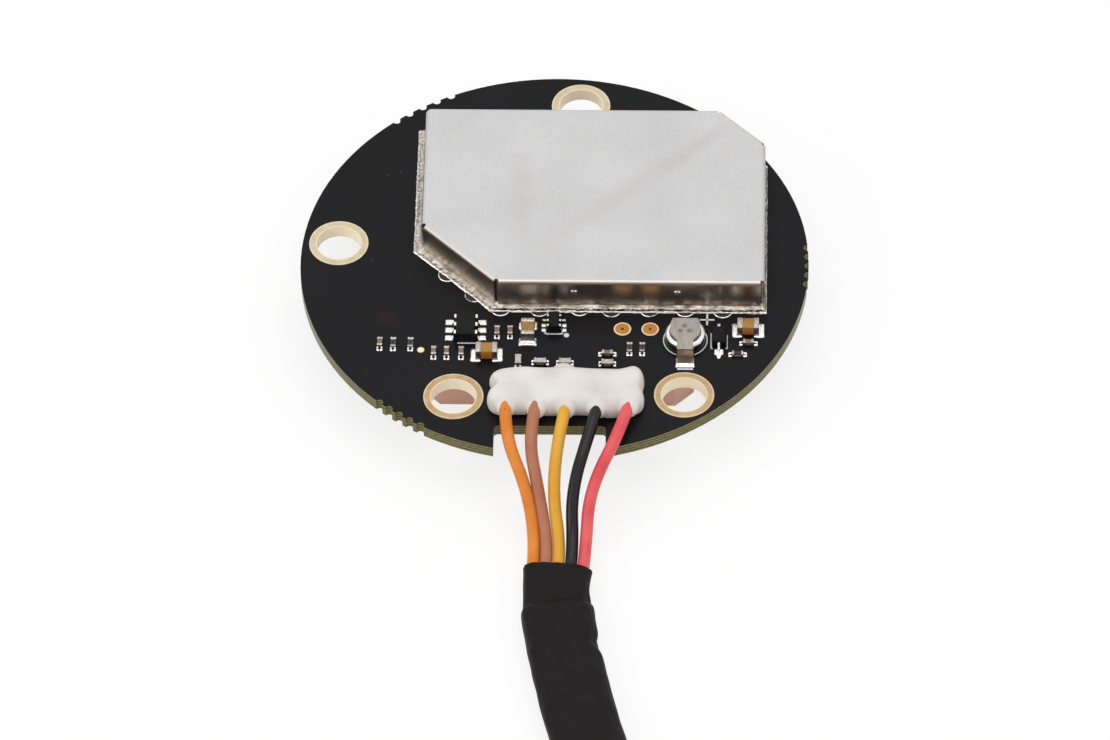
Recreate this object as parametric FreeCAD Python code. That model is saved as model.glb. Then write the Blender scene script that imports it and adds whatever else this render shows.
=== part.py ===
import FreeCAD, Part
import math
import os

from FreeCAD import Rotation, Vector

# Board-level satellite navigation receiver: a round circuit board with a patch antenna
# underneath, a snap-on shield over the radio section, a backup cell, and a five-wire lead
# potted in silicone.  Millimetres, +Z up.  The origin is the centre of the board's outline
# on the plane that the antenna's face rests on.

# ---- board -------------------------------------------------------------------------------
board_radius = 23.5
board_thickness = 1.2
notch_width = 10.2
notch_depth = 3.25
notch_corner_radius = 0.4
# Half-round bites left where the board was snapped out of its panel: bearing and pitch.
bite_radius = 0.38
bite_count = 5
bite_rows = ((-0.7, 1.14), (123.0, 1.5), (-125.9, 1.18))

# ---- mounting holes ----------------------------------------------------------------------
hole_radius = 2.05
# Each hole by its bearing in degrees and how far its centre is in from the rim.
hole_sites = ((84.03, 3.42), (173.82, 3.34), (-117.88, 4.53), (-53.39, 3.11))
barrel_wall = 0.07
ring_radius = 2.75
copper_height = 0.05

# ---- bare gold pads and a via ------------------------------------------------------------
test_pad_radius = 0.8
test_pad_hole_radius = 0.13
test_pad_places = ((6.42, -8.33), (8.96, -8.33))
via_radius = 0.33
via_place = (-12.03, -11.09)

# ---- patch antenna under the board -------------------------------------------------------
antenna_side = 25.0
antenna_height = 4.0
antenna_place = (0.5, -0.2)
antenna_corner_cut = 1.7
electrode_height = 0.04
patch_side = 20.0
patch_corner_cut = 2.4
ground_margin = 0.4
adhesive_height = 0.45
adhesive_margin = 0.8
feed_pin_radius = 0.4
feed_head_radius = 0.75
feed_head_height = 0.3
feed_offset = (0.0, 1.8)
feed_clearance = 0.1
feed_pin_stand = 0.6
feed_solder_radius = 0.9
feed_solder_height = 0.45

# ---- shield can --------------------------------------------------------------------------
lid_left = -12.3
lid_right = 19.45
lid_front = -5.57
lid_back = 16.5
front_cut = 7.0
back_cut = 4.3
lid_top_height = 3.3
sheet = 0.2
bend_radius = 0.35
lid_foot_gap = 0.35
corner_seam = 0.28
# Round reliefs where the folds meet, and the one corner that is drawn round.
relief_radius = 0.22
relief_inset = 0.2
drawn_corner_radius = 0.5
lid_clearance = 0.1
lid_seat_gap = 0.05
dimple_radius = 0.36
dimple_depth = 0.09
dimple_height = 2.08
dimple_pitch = 9.5
dimple_shift = -0.4
frame_window_radius = 0.5
frame_rim_width = 1.1
frame_bar_width = 2.6
frame_bar_place = 3.4
frame_corner_radius = 0.8
# Solder land that the frame stands in, past the lid's walls.
land_left_margin = 0.78
land_right_margin = 0.21
land_front_margin = 0.73
land_back_margin = 0.12
land_front_cut_extra = 0.4
land_back_cut_extra = 0.05
land_inner_margin = 0.5
land_height = 0.14
land_edge = 0.06
dome_radius = 0.88
dome_height = 0.3
dome_line = 0.42
front_dome_places = (-4.85, -1.25, 2.45, 5.37, 8.85, 12.15, 15.6)
cut_dome_places = (0.4, 0.76)

# ---- chip parts: length, width, height, end cap length, end cap thickness -----------------
large_chip = (2.0, 1.28, 1.15, 0.5, 0.04)
small_chip = (1.0, 0.5, 0.48, 0.24, 0.03)
flat_chip = (1.0, 0.5, 0.35, 0.18, 0.03)
filter_chip = (1.1, 0.6, 0.5, 0.22, 0.03)
# Solder past each end and beside it, as (reach, side).
large_pad = (0.5, 0.12)
small_pad = (0.38, 0.04)
filter_pad = (0.28, 0.04)
# How far up the end cap the solder climbs, and the knee of its slope, as shares.
solder_climb = 0.55
solder_knee = (0.4, 0.35)
# Each place is x, y and the turn from lying along X.
large_capacitor_places = ((-5.97, -11.6, 0), (-2.25, -9.0, 90), (17.95, -8.4, 0))
small_capacitor_places = (
    (-15.81, -10.4, 90),
    (-10.83, -11.45, 90),
    (-9.64, -11.45, 90),
    (-8.31, -11.45, 90),
    (-5.08, -8.85, 90),
    (-3.88, -8.85, 90),
    (17.98, -10.05, 0),
    (5.08, -11.5, 0),
)
resistor_places = (
    (-14.58, -10.4, 90),
    (-12.99, -10.4, 90),
    (7.1, -10.8, 90),
    (8.26, -10.8, 90),
    (17.0, -11.4, 0),
)
line_filter_places = ((-3.07, -12.45, 90), (-1.05, -12.6, 0), (1.22, -12.6, 0), (5.1, -12.7, 0))
shielded_capacitor_places = (
    (-2.2, 3.2, 90),
    (-1.0, 3.2, 90),
    (4.9, 1.2, 0),
    (9.3, 10.2, 90),
    (10.6, 10.2, 90),
    (12.0, 3.4, 0),
    (14.2, 5.2, 90),
    (-5.6, 8.4, 0),
)
shielded_resistor_places = ((6.9, 1.2, 0), (-5.6, 9.6, 0), (14.2, 10.6, 90))

# ---- packaged chips: body length along X, width along Y, height ---------------------------
regulator_place = (-7.95, -8.64)
regulator_body = (1.75, 2.9, 1.15)
regulator_pitch = 0.97
regulator_span = 3.0
regulator_lead_width = 0.42
regulator_pad_reach = 0.42
buffer_place = (0.13, -7.98)
buffer_body = (0.95, 1.9, 1.0)
buffer_pitch = 0.6
buffer_span = 2.1
buffer_lead_width = 0.22
buffer_pad_reach = 0.13
lead_sheet = 0.13
lead_pad_side = 0.05
# A leg leaves its body at this share of the height; its knee and ankle are shares of its run.
leg_exit_share = 0.82
leg_knee_share = 0.3
leg_ankle_share = 0.45
leg_underside_lag = 0.08
package_edge = 0.1
diode_place = (15.27, -9.4)
diode_body = (1.25, 1.9, 0.7)
diode_span = 3.0
diode_lead_width = 0.2
# Solder past the front and the back lead, as (width, reach).
diode_pads = ((0.95, 1.05), (0.3, 0.35))

# ---- chips under the shield ---------------------------------------------------------------
radio_chip_place = (4.2, 6.4)
radio_chip_body = (5.0, 5.0, 0.85)
radio_terminal_pitch = 0.5
radio_terminal_size = (0.25, 0.4, 0.12)
radio_terminals_a_side = 8
memory_place = (-3.2, 12.0)
memory_body = (3.0, 2.0, 0.6)
oscillator_place = (10.2, 6.6)
oscillator_body = (2.5, 2.0, 0.45)
oscillator_cap_inset = 0.12
oscillator_cap_height = 0.35
filter_places = ((16.0, 8.0), (12.0, 0.6))
filter_body = (1.4, 1.1, 0.5)
amplifier_place = (8.2, -0.4)
amplifier_body = (1.5, 1.0, 0.55)
crystal_place = (-6.6, 12.2)
crystal_body = (1.5, 3.2, 0.8)
crystal_cap_inset = 0.15
metal_cap_edge = 0.1

# ---- backup cell --------------------------------------------------------------------------
cell_place = (12.2, -9.6)
cell_radius = 1.85
cell_seat = 0.15
cell_can_height = 1.0
cell_can_edge = 0.3
cell_gasket_radius = 1.47
cell_gasket_height = 0.08
cell_cap_radius = 1.4
cell_cap_height = 0.14
cell_strap = 0.13
cell_strap_width = 1.5
cell_strap_radius = 1.36
# The strap's plate runs back past the cap: half width, reach and where its corners start.
cell_tab_half_width = 1.15
cell_tab_reach = 1.43
cell_tab_shoulder = 0.85
cell_leg_gap = 0.42
cell_foot_length = 0.8
cell_pad_length = 1.15
cell_pad_width = 1.75

# ---- silicone over the wire joints --------------------------------------------------------
potting_left = -5.75
potting_right = 8.55
potting_front = -19.25
potting_back = -13.55
potting_height = 2.15
potting_corner = 1.5
potting_round = 0.9
potting_bump_radius = 0.75
potting_bump_place = 1.15
potting_bump_height = 0.75

# ---- wires --------------------------------------------------------------------------------
wire_diameter = 1.12
wire_pitch = 1.17
plug_pitch = 1.25
wire_start = -16.6
conductor_radius = 0.27
conductor_length = 1.5
joint_radius = 0.55
joint_top_radius = 0.42
joint_height = 1.5
# The row of wires lies in its sleeves at this height above the resting plane.
row_height = 1.4
# Each wire's own way from the silicone to the row: x, y, and height above the board.
fan_routes = {
    "orange": ((-4.05, wire_start, 1.25), (-4.2, -22.0, 1.5), (-2.3, -27.0, -1.3)),
    "brown": ((-0.9, wire_start, 1.25), (-2.0, -22.2, 1.5), (-0.9, -27.0, -1.3)),
    "yellow": ((1.85, wire_start, 1.25), (0.9, -22.0, 1.5), (0.5, -27.0, -1.3)),
    "black": ((4.85, wire_start, 1.25), (3.7, -22.0, 1.5), (1.9, -27.0, -1.3)),
    "red": ((7.7, wire_start, 1.25), (7.0, -21.7, 1.6), (3.45, -26.8, -1.2)),
}
# The middle of the row on the resting surface, from the wires' landing to the plug.
row_route = (
    (1.15, -31.2),
    (0.7, -37.0),
    (1.8, -44.0),
    (3.4, -51.4),
    (5.6, -59.0),
    (9.3, -66.3),
    (15.2, -72.5),
    (23.2, -75.9),
    (31.9, -75.4),
    (39.4, -71.2),
    (44.4, -64.3),
)
# The last points of the row, from which the wires stand at the plug's pitch.
spread_point_count = 2
# Every bend's arc starts at this share of the shorter run beside it.
bend_share = 0.45

# ---- sleeves ------------------------------------------------------------------------------
inner_sleeve_width = 6.25
inner_sleeve_height = 2.3
inner_sleeve_wall = 0.17
sleeve_clearance = 0.05
outer_sleeve_wall = 0.2
inner_sleeve_mouth = -33.9
outer_sleeve_mouth = -38.3
# Each sleeve ends this share of the way along the run of the row that its length reaches.
inner_sleeve_length = 58.0
outer_sleeve_length = 34.0
sleeve_end_share = 0.55

# ---- plug ---------------------------------------------------------------------------------
plug_length = 7.4
plug_width = 8.0
plug_body_height = 3.0
plug_edge = 0.25
plug_wire_depth = 1.8
plug_wire_clearance = 0.04
plug_channel = 0.8
plug_contact = 0.66
plug_contact_length = 4.2
plug_latch_width = 3.6
plug_latch_height = 0.7
plug_latch_length = 5.0
plug_rib_width = 0.6
plug_rib_height = 0.35

# ---- heights that follow from the sizes above ---------------------------------------------
board_bottom = antenna_height + adhesive_height
board_top = board_bottom + board_thickness
feed_place = (antenna_place[0] + feed_offset[0], antenna_place[1] + feed_offset[1])

nodes = {}


def keep(name, *solids):
    """Records a named piece, or a group of equal pieces, for export."""
    nodes[name] = solids[0] if len(solids) == 1 else Part.makeCompound(list(solids))


def block(centre, size, low, high=None):
    """A box about a centre in plan, from low up by size[2], or up to high."""
    top = low + size[2] if high is None else high
    corner = Vector(centre[0] - size[0] / 2, centre[1] - size[1] / 2, low)
    return Part.makeBox(size[0], size[1], top - low, corner)


def disc(centre, radius, low, high):
    return Part.makeCylinder(radius, high - low, Vector(centre[0], centre[1], low))


def prism(points, low, high):
    """A straight-sided solid on a plan outline."""
    corners = [Vector(x, y, low) for x, y in points]
    face = Part.Face(Part.makePolygon(corners + corners[:1]))
    return face.extrude(Vector(0, 0, high - low))


def side_prism(points, width, x, y, low, turn):
    """A profile of (outward, up) points, pulled across its width, set at x, y and turned."""
    corners = [Vector(u, -width / 2, w) for u, w in points]
    solid = Part.Face(Part.makePolygon(corners + corners[:1])).extrude(Vector(0, width, 0))
    return placed(solid, x, y, low, turn)


def placed(shape, x, y, z, turn=0):
    moved = shape.copy()
    moved.rotate(Vector(0, 0, 0), Vector(0, 0, 1), turn)
    moved.translate(Vector(x, y, z))
    return moved


def edges_where(shape, test):
    return [edge for edge in shape.Edges if test(edge)]


def upright(edge):
    """True for a straight edge that stands along Z."""
    ends = [vertex.Point for vertex in edge.Vertexes]
    return len(ends) == 2 and abs(ends[0].x - ends[1].x) + abs(ends[0].y - ends[1].y) < 1e-6


def touches(edge, point):
    """True for an edge that starts or ends at a point."""
    return any(vertex.Point.distanceToPoint(point) < 1e-6 for vertex in edge.Vertexes)


def at_height(z):
    """A test for edges that lie wholly at one height."""
    return lambda edge: abs(edge.BoundBox.ZMin - z) < 1e-6 and abs(edge.BoundBox.ZMax - z) < 1e-6


# ---- board and what is plated on it --------------------------------------------------------
def on_bearing(bearing, radius):
    """A plan point at a bearing in degrees and a distance from the board's centre."""
    angle = math.radians(bearing)
    return (radius * math.cos(angle), radius * math.sin(angle))


def hole_places():
    return [on_bearing(bearing, board_radius - depth) for bearing, depth in hole_sites]


def make_board():
    board = disc((0, 0), board_radius, board_bottom, board_top)
    notch_back = notch_depth - board_radius
    notch = block((0, -board_radius), (notch_width, 2 * (board_radius + notch_back)), 0, board_top * 2)
    notch = notch.makeFillet(notch_corner_radius, edges_where(notch, upright))
    tools = [notch]
    for bearing, pitch in bite_rows:
        for number in range(bite_count):
            step = math.degrees(pitch / board_radius)
            place = on_bearing(bearing + (number - (bite_count - 1) / 2) * step, board_radius)
            tools.append(disc(place, bite_radius, 0, board_top * 2))
    for place in hole_places():
        tools.append(disc(place, hole_radius + barrel_wall, 0, board_top * 2))
    for place in test_pad_places:
        tools.append(disc(place, test_pad_hole_radius, 0, board_top * 2))
    tools.append(disc(feed_place, feed_pin_radius + feed_clearance, 0, board_top * 2))
    keep("pcb_board", board.cut(tools))


def make_hole_platings():
    """A flanged eyelet in each hole: a ring on both faces and the barrel between them."""
    platings = []
    for x, y in hole_places():
        low = board_bottom - copper_height
        high = board_top + copper_height
        outline = [
            (hole_radius, low),
            (ring_radius, low),
            (ring_radius, board_bottom),
            (hole_radius + barrel_wall, board_bottom),
            (hole_radius + barrel_wall, board_top),
            (ring_radius, board_top),
            (ring_radius, high),
            (hole_radius, high),
        ]
        corners = [Vector(r, 0, z) for r, z in outline]
        face = Part.Face(Part.makePolygon(corners + corners[:1]))
        plating = face.revolve(Vector(0, 0, 0), Vector(0, 0, 1), 360)
        platings.append(placed(plating, x, y, 0))
    keep("mounting_hole_platings", *platings)


def make_gold_pads():
    top = board_top + copper_height
    pads = []
    for place in test_pad_places:
        pad = disc(place, test_pad_radius, board_top, top)
        pads.append(pad.cut(disc(place, test_pad_hole_radius, board_top, top)))
    pads.append(disc(via_place, via_radius, board_top, top))
    keep("gold_test_pads", *pads)


# ---- patch antenna -------------------------------------------------------------------------
def cut_square(centre, side, cuts):
    """A square outline with its corners cut at 45 degrees, from the front left one round."""
    x, y = centre
    half = side / 2
    points = []
    turns = ((-1, -1), (1, -1), (1, 1), (-1, 1))
    for (sx, sy), cut in zip(turns, cuts):
        corner = (x + sx * half, y + sy * half)
        along = (corner[0] - sx * cut, corner[1])
        across = (corner[0], corner[1] - sy * cut)
        pair = (across, along) if sx * sy > 0 else (along, across)
        points += [pair[0]] if cut == 0 else list(pair)
    return points


def make_antenna():
    every_corner = (antenna_corner_cut,) * 4
    feed_hole = disc(feed_place, feed_pin_radius, 0, board_top)
    head_seat = disc(feed_place, feed_head_radius, 0, feed_head_height)
    ground_low = antenna_height - electrode_height
    ceramic = prism(cut_square(antenna_place, antenna_side, every_corner), electrode_height, ground_low)
    keep("antenna_ceramic", ceramic.cut([feed_hole, head_seat]))
    # Two opposite corners are trimmed, which makes the patch circularly polarised.
    trimmed = (patch_corner_cut, 0, patch_corner_cut, 0)
    patch = prism(cut_square(antenna_place, patch_side, trimmed), 0, electrode_height)
    keep("antenna_patch_electrode", patch.cut(head_seat))
    ground_side = antenna_side - 2 * ground_margin
    ground = prism(cut_square(antenna_place, ground_side, every_corner), ground_low, antenna_height)
    gap = disc(feed_place, feed_head_radius, 0, board_top)
    keep("antenna_ground_electrode", ground.cut(gap))
    pad_side_length = antenna_side - 2 * adhesive_margin
    pad = prism(cut_square(antenna_place, pad_side_length, every_corner), antenna_height, board_bottom)
    keep("antenna_adhesive_pad", pad.cut(gap))
    pin_top = board_top + feed_pin_stand
    head = disc(feed_place, feed_head_radius, 0, feed_head_height)
    pin = head.fuse(disc(feed_place, feed_pin_radius, 0, pin_top)).removeSplitter()
    keep("antenna_feed_pin", pin)
    joint = Part.makeCone(
        feed_solder_radius,
        feed_pin_radius + feed_clearance,
        feed_solder_height,
        Vector(feed_place[0], feed_place[1], board_top),
    )
    keep("antenna_feed_solder", joint.cut(disc(feed_place, feed_pin_radius, 0, pin_top)))


# ---- shield can ----------------------------------------------------------------------------
def cut_outline(left, right, low, high, low_cut, high_cut):
    """A rectangle with its front left and back right corners cut at 45 degrees."""
    front_line = left + low + low_cut
    back_line = right + high - high_cut
    return [
        (left, front_line - left),
        (front_line - low, low),
        (right, low),
        (right, back_line - right),
        (back_line - high, high),
        (left, high),
    ]


def shield_outline(inset=0.0):
    """The can's six-cornered plan, set in from the lid's walls."""
    shrink = inset * (2 - math.sqrt(2))
    return cut_outline(
        lid_left + inset,
        lid_right - inset,
        lid_front + inset,
        lid_back - inset,
        front_cut - shrink,
        back_cut - shrink,
    )


def can_prism(inset, low, high):
    """The can's plan as a solid, its back left corner rounded to follow the lid's drawn one."""
    solid = prism(shield_outline(inset), low, high)
    radius = drawn_corner_radius - inset
    if radius < lid_clearance / 2:
        return solid
    place = Vector(lid_left + inset, lid_back - inset, low)
    corner = [edge for edge in edges_where(solid, upright) if touches(edge, place)]
    return solid.makeFillet(radius, corner)


def sides_of(points):
    """Each side of an outline: start, unit direction, inward normal, length and end setbacks."""
    sides = []
    count = len(points)
    for number in range(count):
        before, start, end, after = (Vector(*points[(number + k) % count], 0) for k in (-1, 0, 1, 2))
        along = (end - start).normalize()
        inward = Vector(-along.y, along.x, 0)
        setbacks = []
        for corner, first, second in ((number, start - before, along), (number + 1, along, after - end)):
            half_turn = first.getAngle(second) / 2
            seam = sheet * math.tan(half_turn) + corner_seam / 2
            setbacks.append(drawn_corner_radius if corner == count - 1 else seam)
        sides.append((start, along, inward, (end - start).Length, setbacks))
    return sides


def wall_profile(base, inward):
    """The section of a wall of the lid and its bend, from the foot of its outer face."""
    top = board_top + lid_top_height
    foot = board_top + lid_foot_gap

    def point(u, z):
        return base + inward * u + Vector(0, 0, z)

    def quarter(radius):
        diagonal = radius * math.sqrt(0.5)
        centre = (bend_radius, top - bend_radius)
        return Part.Arc(
            point(centre[0] - radius, centre[1]),
            point(centre[0] - diagonal, centre[1] + diagonal),
            point(centre[0], centre[1] + radius),
        ).toShape()

    edges = [
        Part.makeLine(point(0, foot), point(0, top - bend_radius)),
        quarter(bend_radius),
        Part.makeLine(point(bend_radius, top), point(bend_radius, top - sheet)),
        quarter(bend_radius - sheet),
        Part.makeLine(point(sheet, top - bend_radius), point(sheet, foot)),
        Part.makeLine(point(sheet, foot), point(0, foot)),
    ]
    return Part.Face(Part.Wire(Part.__sortEdges__(edges)))


def folded_wall(start, along, inward, length, setbacks):
    """One wall of the lid with its bend, as the profile pulled along the side."""
    profile = wall_profile(start + along * setbacks[0], inward)
    return profile.extrude(along * (length - setbacks[0] - setbacks[1]))


def drawn_corner():
    """The lid's back left corner, drawn round instead of folded: the profile turned about it."""
    corner_y = lid_back - drawn_corner_radius
    profile = wall_profile(Vector(lid_left, corner_y, 0), Vector(1, 0, 0))
    axis = Vector(lid_left + drawn_corner_radius, corner_y, 0)
    return profile.revolve(axis, Vector(0, 0, 1), -90)


def dimple_seats():
    """Where the lid snaps to its frame: a point on the wall's outer face and the way inward."""
    front_middle = (lid_left + front_cut + lid_right) / 2 + dimple_shift
    back_middle = (lid_left + lid_right - back_cut) / 2
    middle_y = (lid_front + lid_back) / 2
    z = board_top + dimple_height
    seats = []
    for sign in (-1, 1):
        shift = sign * dimple_pitch / 2
        seats.append((Vector(front_middle + shift, lid_front, z), Vector(0, 1, 0)))
        seats.append((Vector(back_middle + shift, lid_back, z), Vector(0, -1, 0)))
        seats.append((Vector(lid_right, middle_y - back_cut / 2 + shift, z), Vector(-1, 0, 0)))
    seats.append((Vector(lid_left, middle_y + front_cut / 2, z), Vector(1, 0, 0)))
    return seats


def make_shield_lid():
    """A folded sheet lid: a top plate, a bent wall on each side, open seams at five corners."""
    top = board_top + lid_top_height
    plate = can_prism(bend_radius, top - sheet, top)
    walls = [folded_wall(*side) for side in sides_of(shield_outline())]
    lid = plate.fuse(walls + [drawn_corner()]).removeSplitter()
    reliefs = shield_outline(relief_inset)[:-1]
    lid = lid.cut([disc(place, relief_radius, top - 2 * bend_radius, top) for place in reliefs])
    ball_radius = (dimple_radius**2 + dimple_depth**2) / (2 * dimple_depth)
    for seat, inward in dimple_seats():
        wall_back = seat + inward * sheet
        ball = Part.makeSphere(ball_radius, wall_back - inward * (ball_radius - dimple_depth))
        behind = Part.makeCylinder(2 * dimple_radius, sheet, wall_back, inward)
        bump = ball.common(behind)
        pressed = Part.makeSphere(ball_radius, seat - inward * (ball_radius - dimple_depth))
        lid = lid.fuse(bump).cut(pressed)
    keep("shield_lid", lid)


def make_shield_frame():
    """The fence soldered to the board: walls, an inward rim on top and a pick-up bar."""
    outer = sheet + lid_clearance
    top = board_top + lid_top_height - sheet - lid_seat_gap
    opening = can_prism(outer + sheet, board_top, top)
    frame = can_prism(outer, board_top, top).cut(opening)
    window = prism(shield_outline(outer + sheet + frame_rim_width), top - sheet, top)
    window = window.makeFillet(frame_corner_radius, edges_where(window, upright))
    rim = can_prism(outer + sheet / 2, top - sheet, top).cut(window)
    middle = (lid_front + lid_back) / 2
    bar_length = lid_back - lid_front - 2 * outer - sheet
    bar = block((frame_bar_place, middle), (frame_bar_width, bar_length, sheet), top - sheet)
    frame = frame.fuse([rim, bar]).removeSplitter()
    holes = []
    for seat, inward in dimple_seats():
        outside = seat + inward * lid_clearance
        holes.append(Part.makeCylinder(frame_window_radius, 3 * sheet, outside, inward))
    keep("shield_frame", frame.cut(holes))


def shield_foot():
    """The frame's footprint, which the solder land is poured around."""
    outer = sheet + lid_clearance
    walls = can_prism(outer, board_top, board_top + lid_top_height)
    return walls.cut(can_prism(outer + sheet, board_top, board_top + lid_top_height))


def land_outline():
    return cut_outline(
        lid_left - land_left_margin,
        lid_right + land_right_margin,
        lid_front - land_front_margin,
        lid_back + land_back_margin,
        front_cut + land_front_cut_extra,
        back_cut + land_back_cut_extra,
    )


def make_shield_solder():
    high = board_top + land_height
    land = prism(land_outline(), board_top, high)
    land = land.makeChamfer(land_edge, edges_where(land, at_height(high)))
    inner = sheet + lid_clearance + sheet + land_inner_margin
    land = land.cut([prism(shield_outline(inner), board_top, high), shield_foot()])
    keep("shield_land_solder", *land.Solids)


def make_solder_domes():
    """Solder domes on round pads that the land half covers."""
    line = lid_front - dome_line
    places = [(x, line) for x in front_dome_places]
    corner, end = shield_outline()[:2]
    out = dome_line / math.sqrt(2)
    for share in cut_dome_places:
        x = corner[0] + (end[0] - corner[0]) * share
        y = corner[1] + (end[1] - corner[1]) * share
        places.append((x - out, y - out))
    ball_radius = (dome_radius**2 + dome_height**2) / (2 * dome_height)
    land = prism(land_outline(), board_top, board_top + lid_top_height)
    domes = []
    for x, y in places:
        ball = Part.makeSphere(ball_radius, Vector(x, y, board_top + dome_height - ball_radius))
        cap = ball.common(disc((x, y), dome_radius, board_top, board_top + dome_height))
        domes += cap.cut(land).Solids
    keep("shield_solder_domes", *domes)


# ---- chip parts with an end cap at each end ------------------------------------------------
def chip(size, pad, place):
    """A two-ended chip: its body, its two cup-shaped end caps and its two solder fillets."""
    length, width, height, cap, skin = size
    reach, side = pad
    x, y, turn = place
    core_size = (length - 2 * skin, width - 2 * skin, height - 2 * skin)
    core = block((0, 0), core_size, skin)
    caps = []
    fillets = []
    for end in (-1, 1):
        shell = block((end * (length - cap) / 2, 0), (cap, width, height), 0)
        shell = shell.makeChamfer(skin, edges_where(shell, at_height(height)))
        caps.append(placed(shell.cut(core), x, y, board_top, turn))
        climb = solder_climb * height
        profile = [
            (0, 0),
            (reach, 0),
            (reach, copper_height),
            (reach * solder_knee[0], climb * solder_knee[1]),
            (0, climb),
        ]
        profile = [(length / 2 + u, z) for u, z in profile]
        way = turn if end > 0 else turn + 180
        fillets.append(side_prism(profile, width + 2 * side, x, y, board_top, way))
    return placed(core, x, y, board_top, turn), caps, fillets


def make_chips(name, size, pad, places):
    """A group of equal chips; returns their solder for the shared solder node."""
    bodies, caps, solder = [], [], []
    for place in places:
        body, ends, fillets = chip(size, pad, place)
        bodies.append(body)
        caps += ends
        solder += fillets
    keep(name + "_bodies", *bodies)
    keep(name + "_end_caps", *caps)
    return solder


# ---- packaged chips with legs --------------------------------------------------------------
def package(place, size, low=None):
    """A moulded body with a chamfered top rim."""
    base = board_top if low is None else low
    body = block(place, size, base)
    return body.makeChamfer(package_edge, edges_where(body, at_height(base + size[2])))


def leg(exit_height, body_half, span_half, width, x, y, turn):
    """A gull-wing leg from the body's side down to its foot."""
    run = span_half - body_half
    knee, ankle = run * leg_knee_share, run * leg_ankle_share
    top_line = [(0, exit_height), (knee, exit_height), (ankle, lead_sheet), (run, lead_sheet)]
    low_line = [
        (run, 0),
        (ankle - leg_underside_lag, 0),
        (knee - leg_underside_lag, exit_height - lead_sheet),
        (0, exit_height - lead_sheet),
    ]
    outline = [(body_half + u, z) for u, z in top_line + low_line]
    return placed(side_prism(outline, width, 0, 0, 0, turn), x, y, board_top)


def toe_solder(start, reach, width, x, y, turn):
    """Solder that runs out from a foot's toe over its pad."""
    profile = [
        (start, 0),
        (start + reach, 0),
        (start + reach, copper_height),
        (start, lead_sheet),
    ]
    return placed(side_prism(profile, width, 0, 0, 0, turn), x, y, board_top)


def make_legged_package(name, place, size, pitch, span, width, reach):
    """A body with three legs on each long side and a dimple by its first leg."""
    body = package(place, size, board_top + copper_height)
    inset = size[0] / 4
    mark = (place[0] - size[0] / 2 + inset, place[1] - size[1] / 2 + inset)
    high = board_top + copper_height + size[2]
    keep(name + "_body", body.cut(disc(mark, inset / 3, high - copper_height, high)))
    exit_height = size[2] * leg_exit_share
    legs, solder = [], []
    for turn in (0, 180):
        for step in (-1, 0, 1):
            y = place[1] + step * pitch
            legs.append(leg(exit_height, size[0] / 2, span / 2, width, place[0], y, turn))
            solder.append(toe_solder(span / 2, reach, width + 2 * lead_pad_side, place[0], y, turn))
    keep(name + "_legs", *legs)
    return solder


def make_diode():
    body = package(diode_place, diode_body, board_top + copper_height)
    keep("charging_diode_body", body)
    legs, solder = [], []
    exit_height = diode_body[2] * leg_exit_share
    for turn, (pad_width, reach) in zip((-90, 90), diode_pads):
        legs.append(
            leg(exit_height, diode_body[1] / 2, diode_span / 2, diode_lead_width, *diode_place, turn)
        )
        solder.append(toe_solder(diode_span / 2, reach, pad_width, *diode_place, turn))
    keep("charging_diode_legs", *legs)
    return solder


# ---- radio section under the shield --------------------------------------------------------
def make_radio_section():
    terminal_width, terminal_length, terminal_height = radio_terminal_size
    keep("radio_chip_body", package(radio_chip_place, radio_chip_body, board_top + terminal_height))
    terminals = []
    half = radio_chip_body[0] / 2
    first = -(radio_terminals_a_side - 1) / 2
    for turn in (0, 90, 180, 270):
        for number in range(radio_terminals_a_side):
            shift = (first + number) * radio_terminal_pitch
            pad = block((half, shift), (terminal_length, terminal_width, terminal_height), 0)
            terminals.append(placed(pad, *radio_chip_place, board_top, turn))
    keep("radio_chip_terminals", *terminals)
    keep("memory_chip", package(memory_place, memory_body))
    keep("oscillator_base", block(oscillator_place, oscillator_body, board_top))
    cap_size = (
        oscillator_body[0] - 2 * oscillator_cap_inset,
        oscillator_body[1] - 2 * oscillator_cap_inset,
        oscillator_cap_height,
    )
    cap_low = board_top + oscillator_body[2]
    cap = block(oscillator_place, cap_size, cap_low)
    rounded = edges_where(cap, lambda edge: upright(edge) or at_height(cap_low + cap_size[2])(edge))
    keep("oscillator_cap", cap.makeFillet(metal_cap_edge, rounded))
    keep("band_filters", *[package(place, filter_body) for place in filter_places])
    keep("low_noise_amplifier", package(amplifier_place, amplifier_body))
    crystal_base_height = crystal_body[2] / 2
    base = block(crystal_place, (crystal_body[0], crystal_body[1], crystal_base_height), board_top)
    keep("clock_crystal_base", base)
    cap_size = (
        crystal_body[0] - 2 * crystal_cap_inset,
        crystal_body[1] - 2 * crystal_cap_inset,
        crystal_body[2] - crystal_base_height,
    )
    cap_low = board_top + crystal_base_height
    cap = block(crystal_place, cap_size, cap_low)
    rounded = edges_where(cap, lambda edge: upright(edge) or at_height(cap_low + cap_size[2])(edge))
    keep("clock_crystal_cap", cap.makeFillet(metal_cap_edge, rounded))


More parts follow.
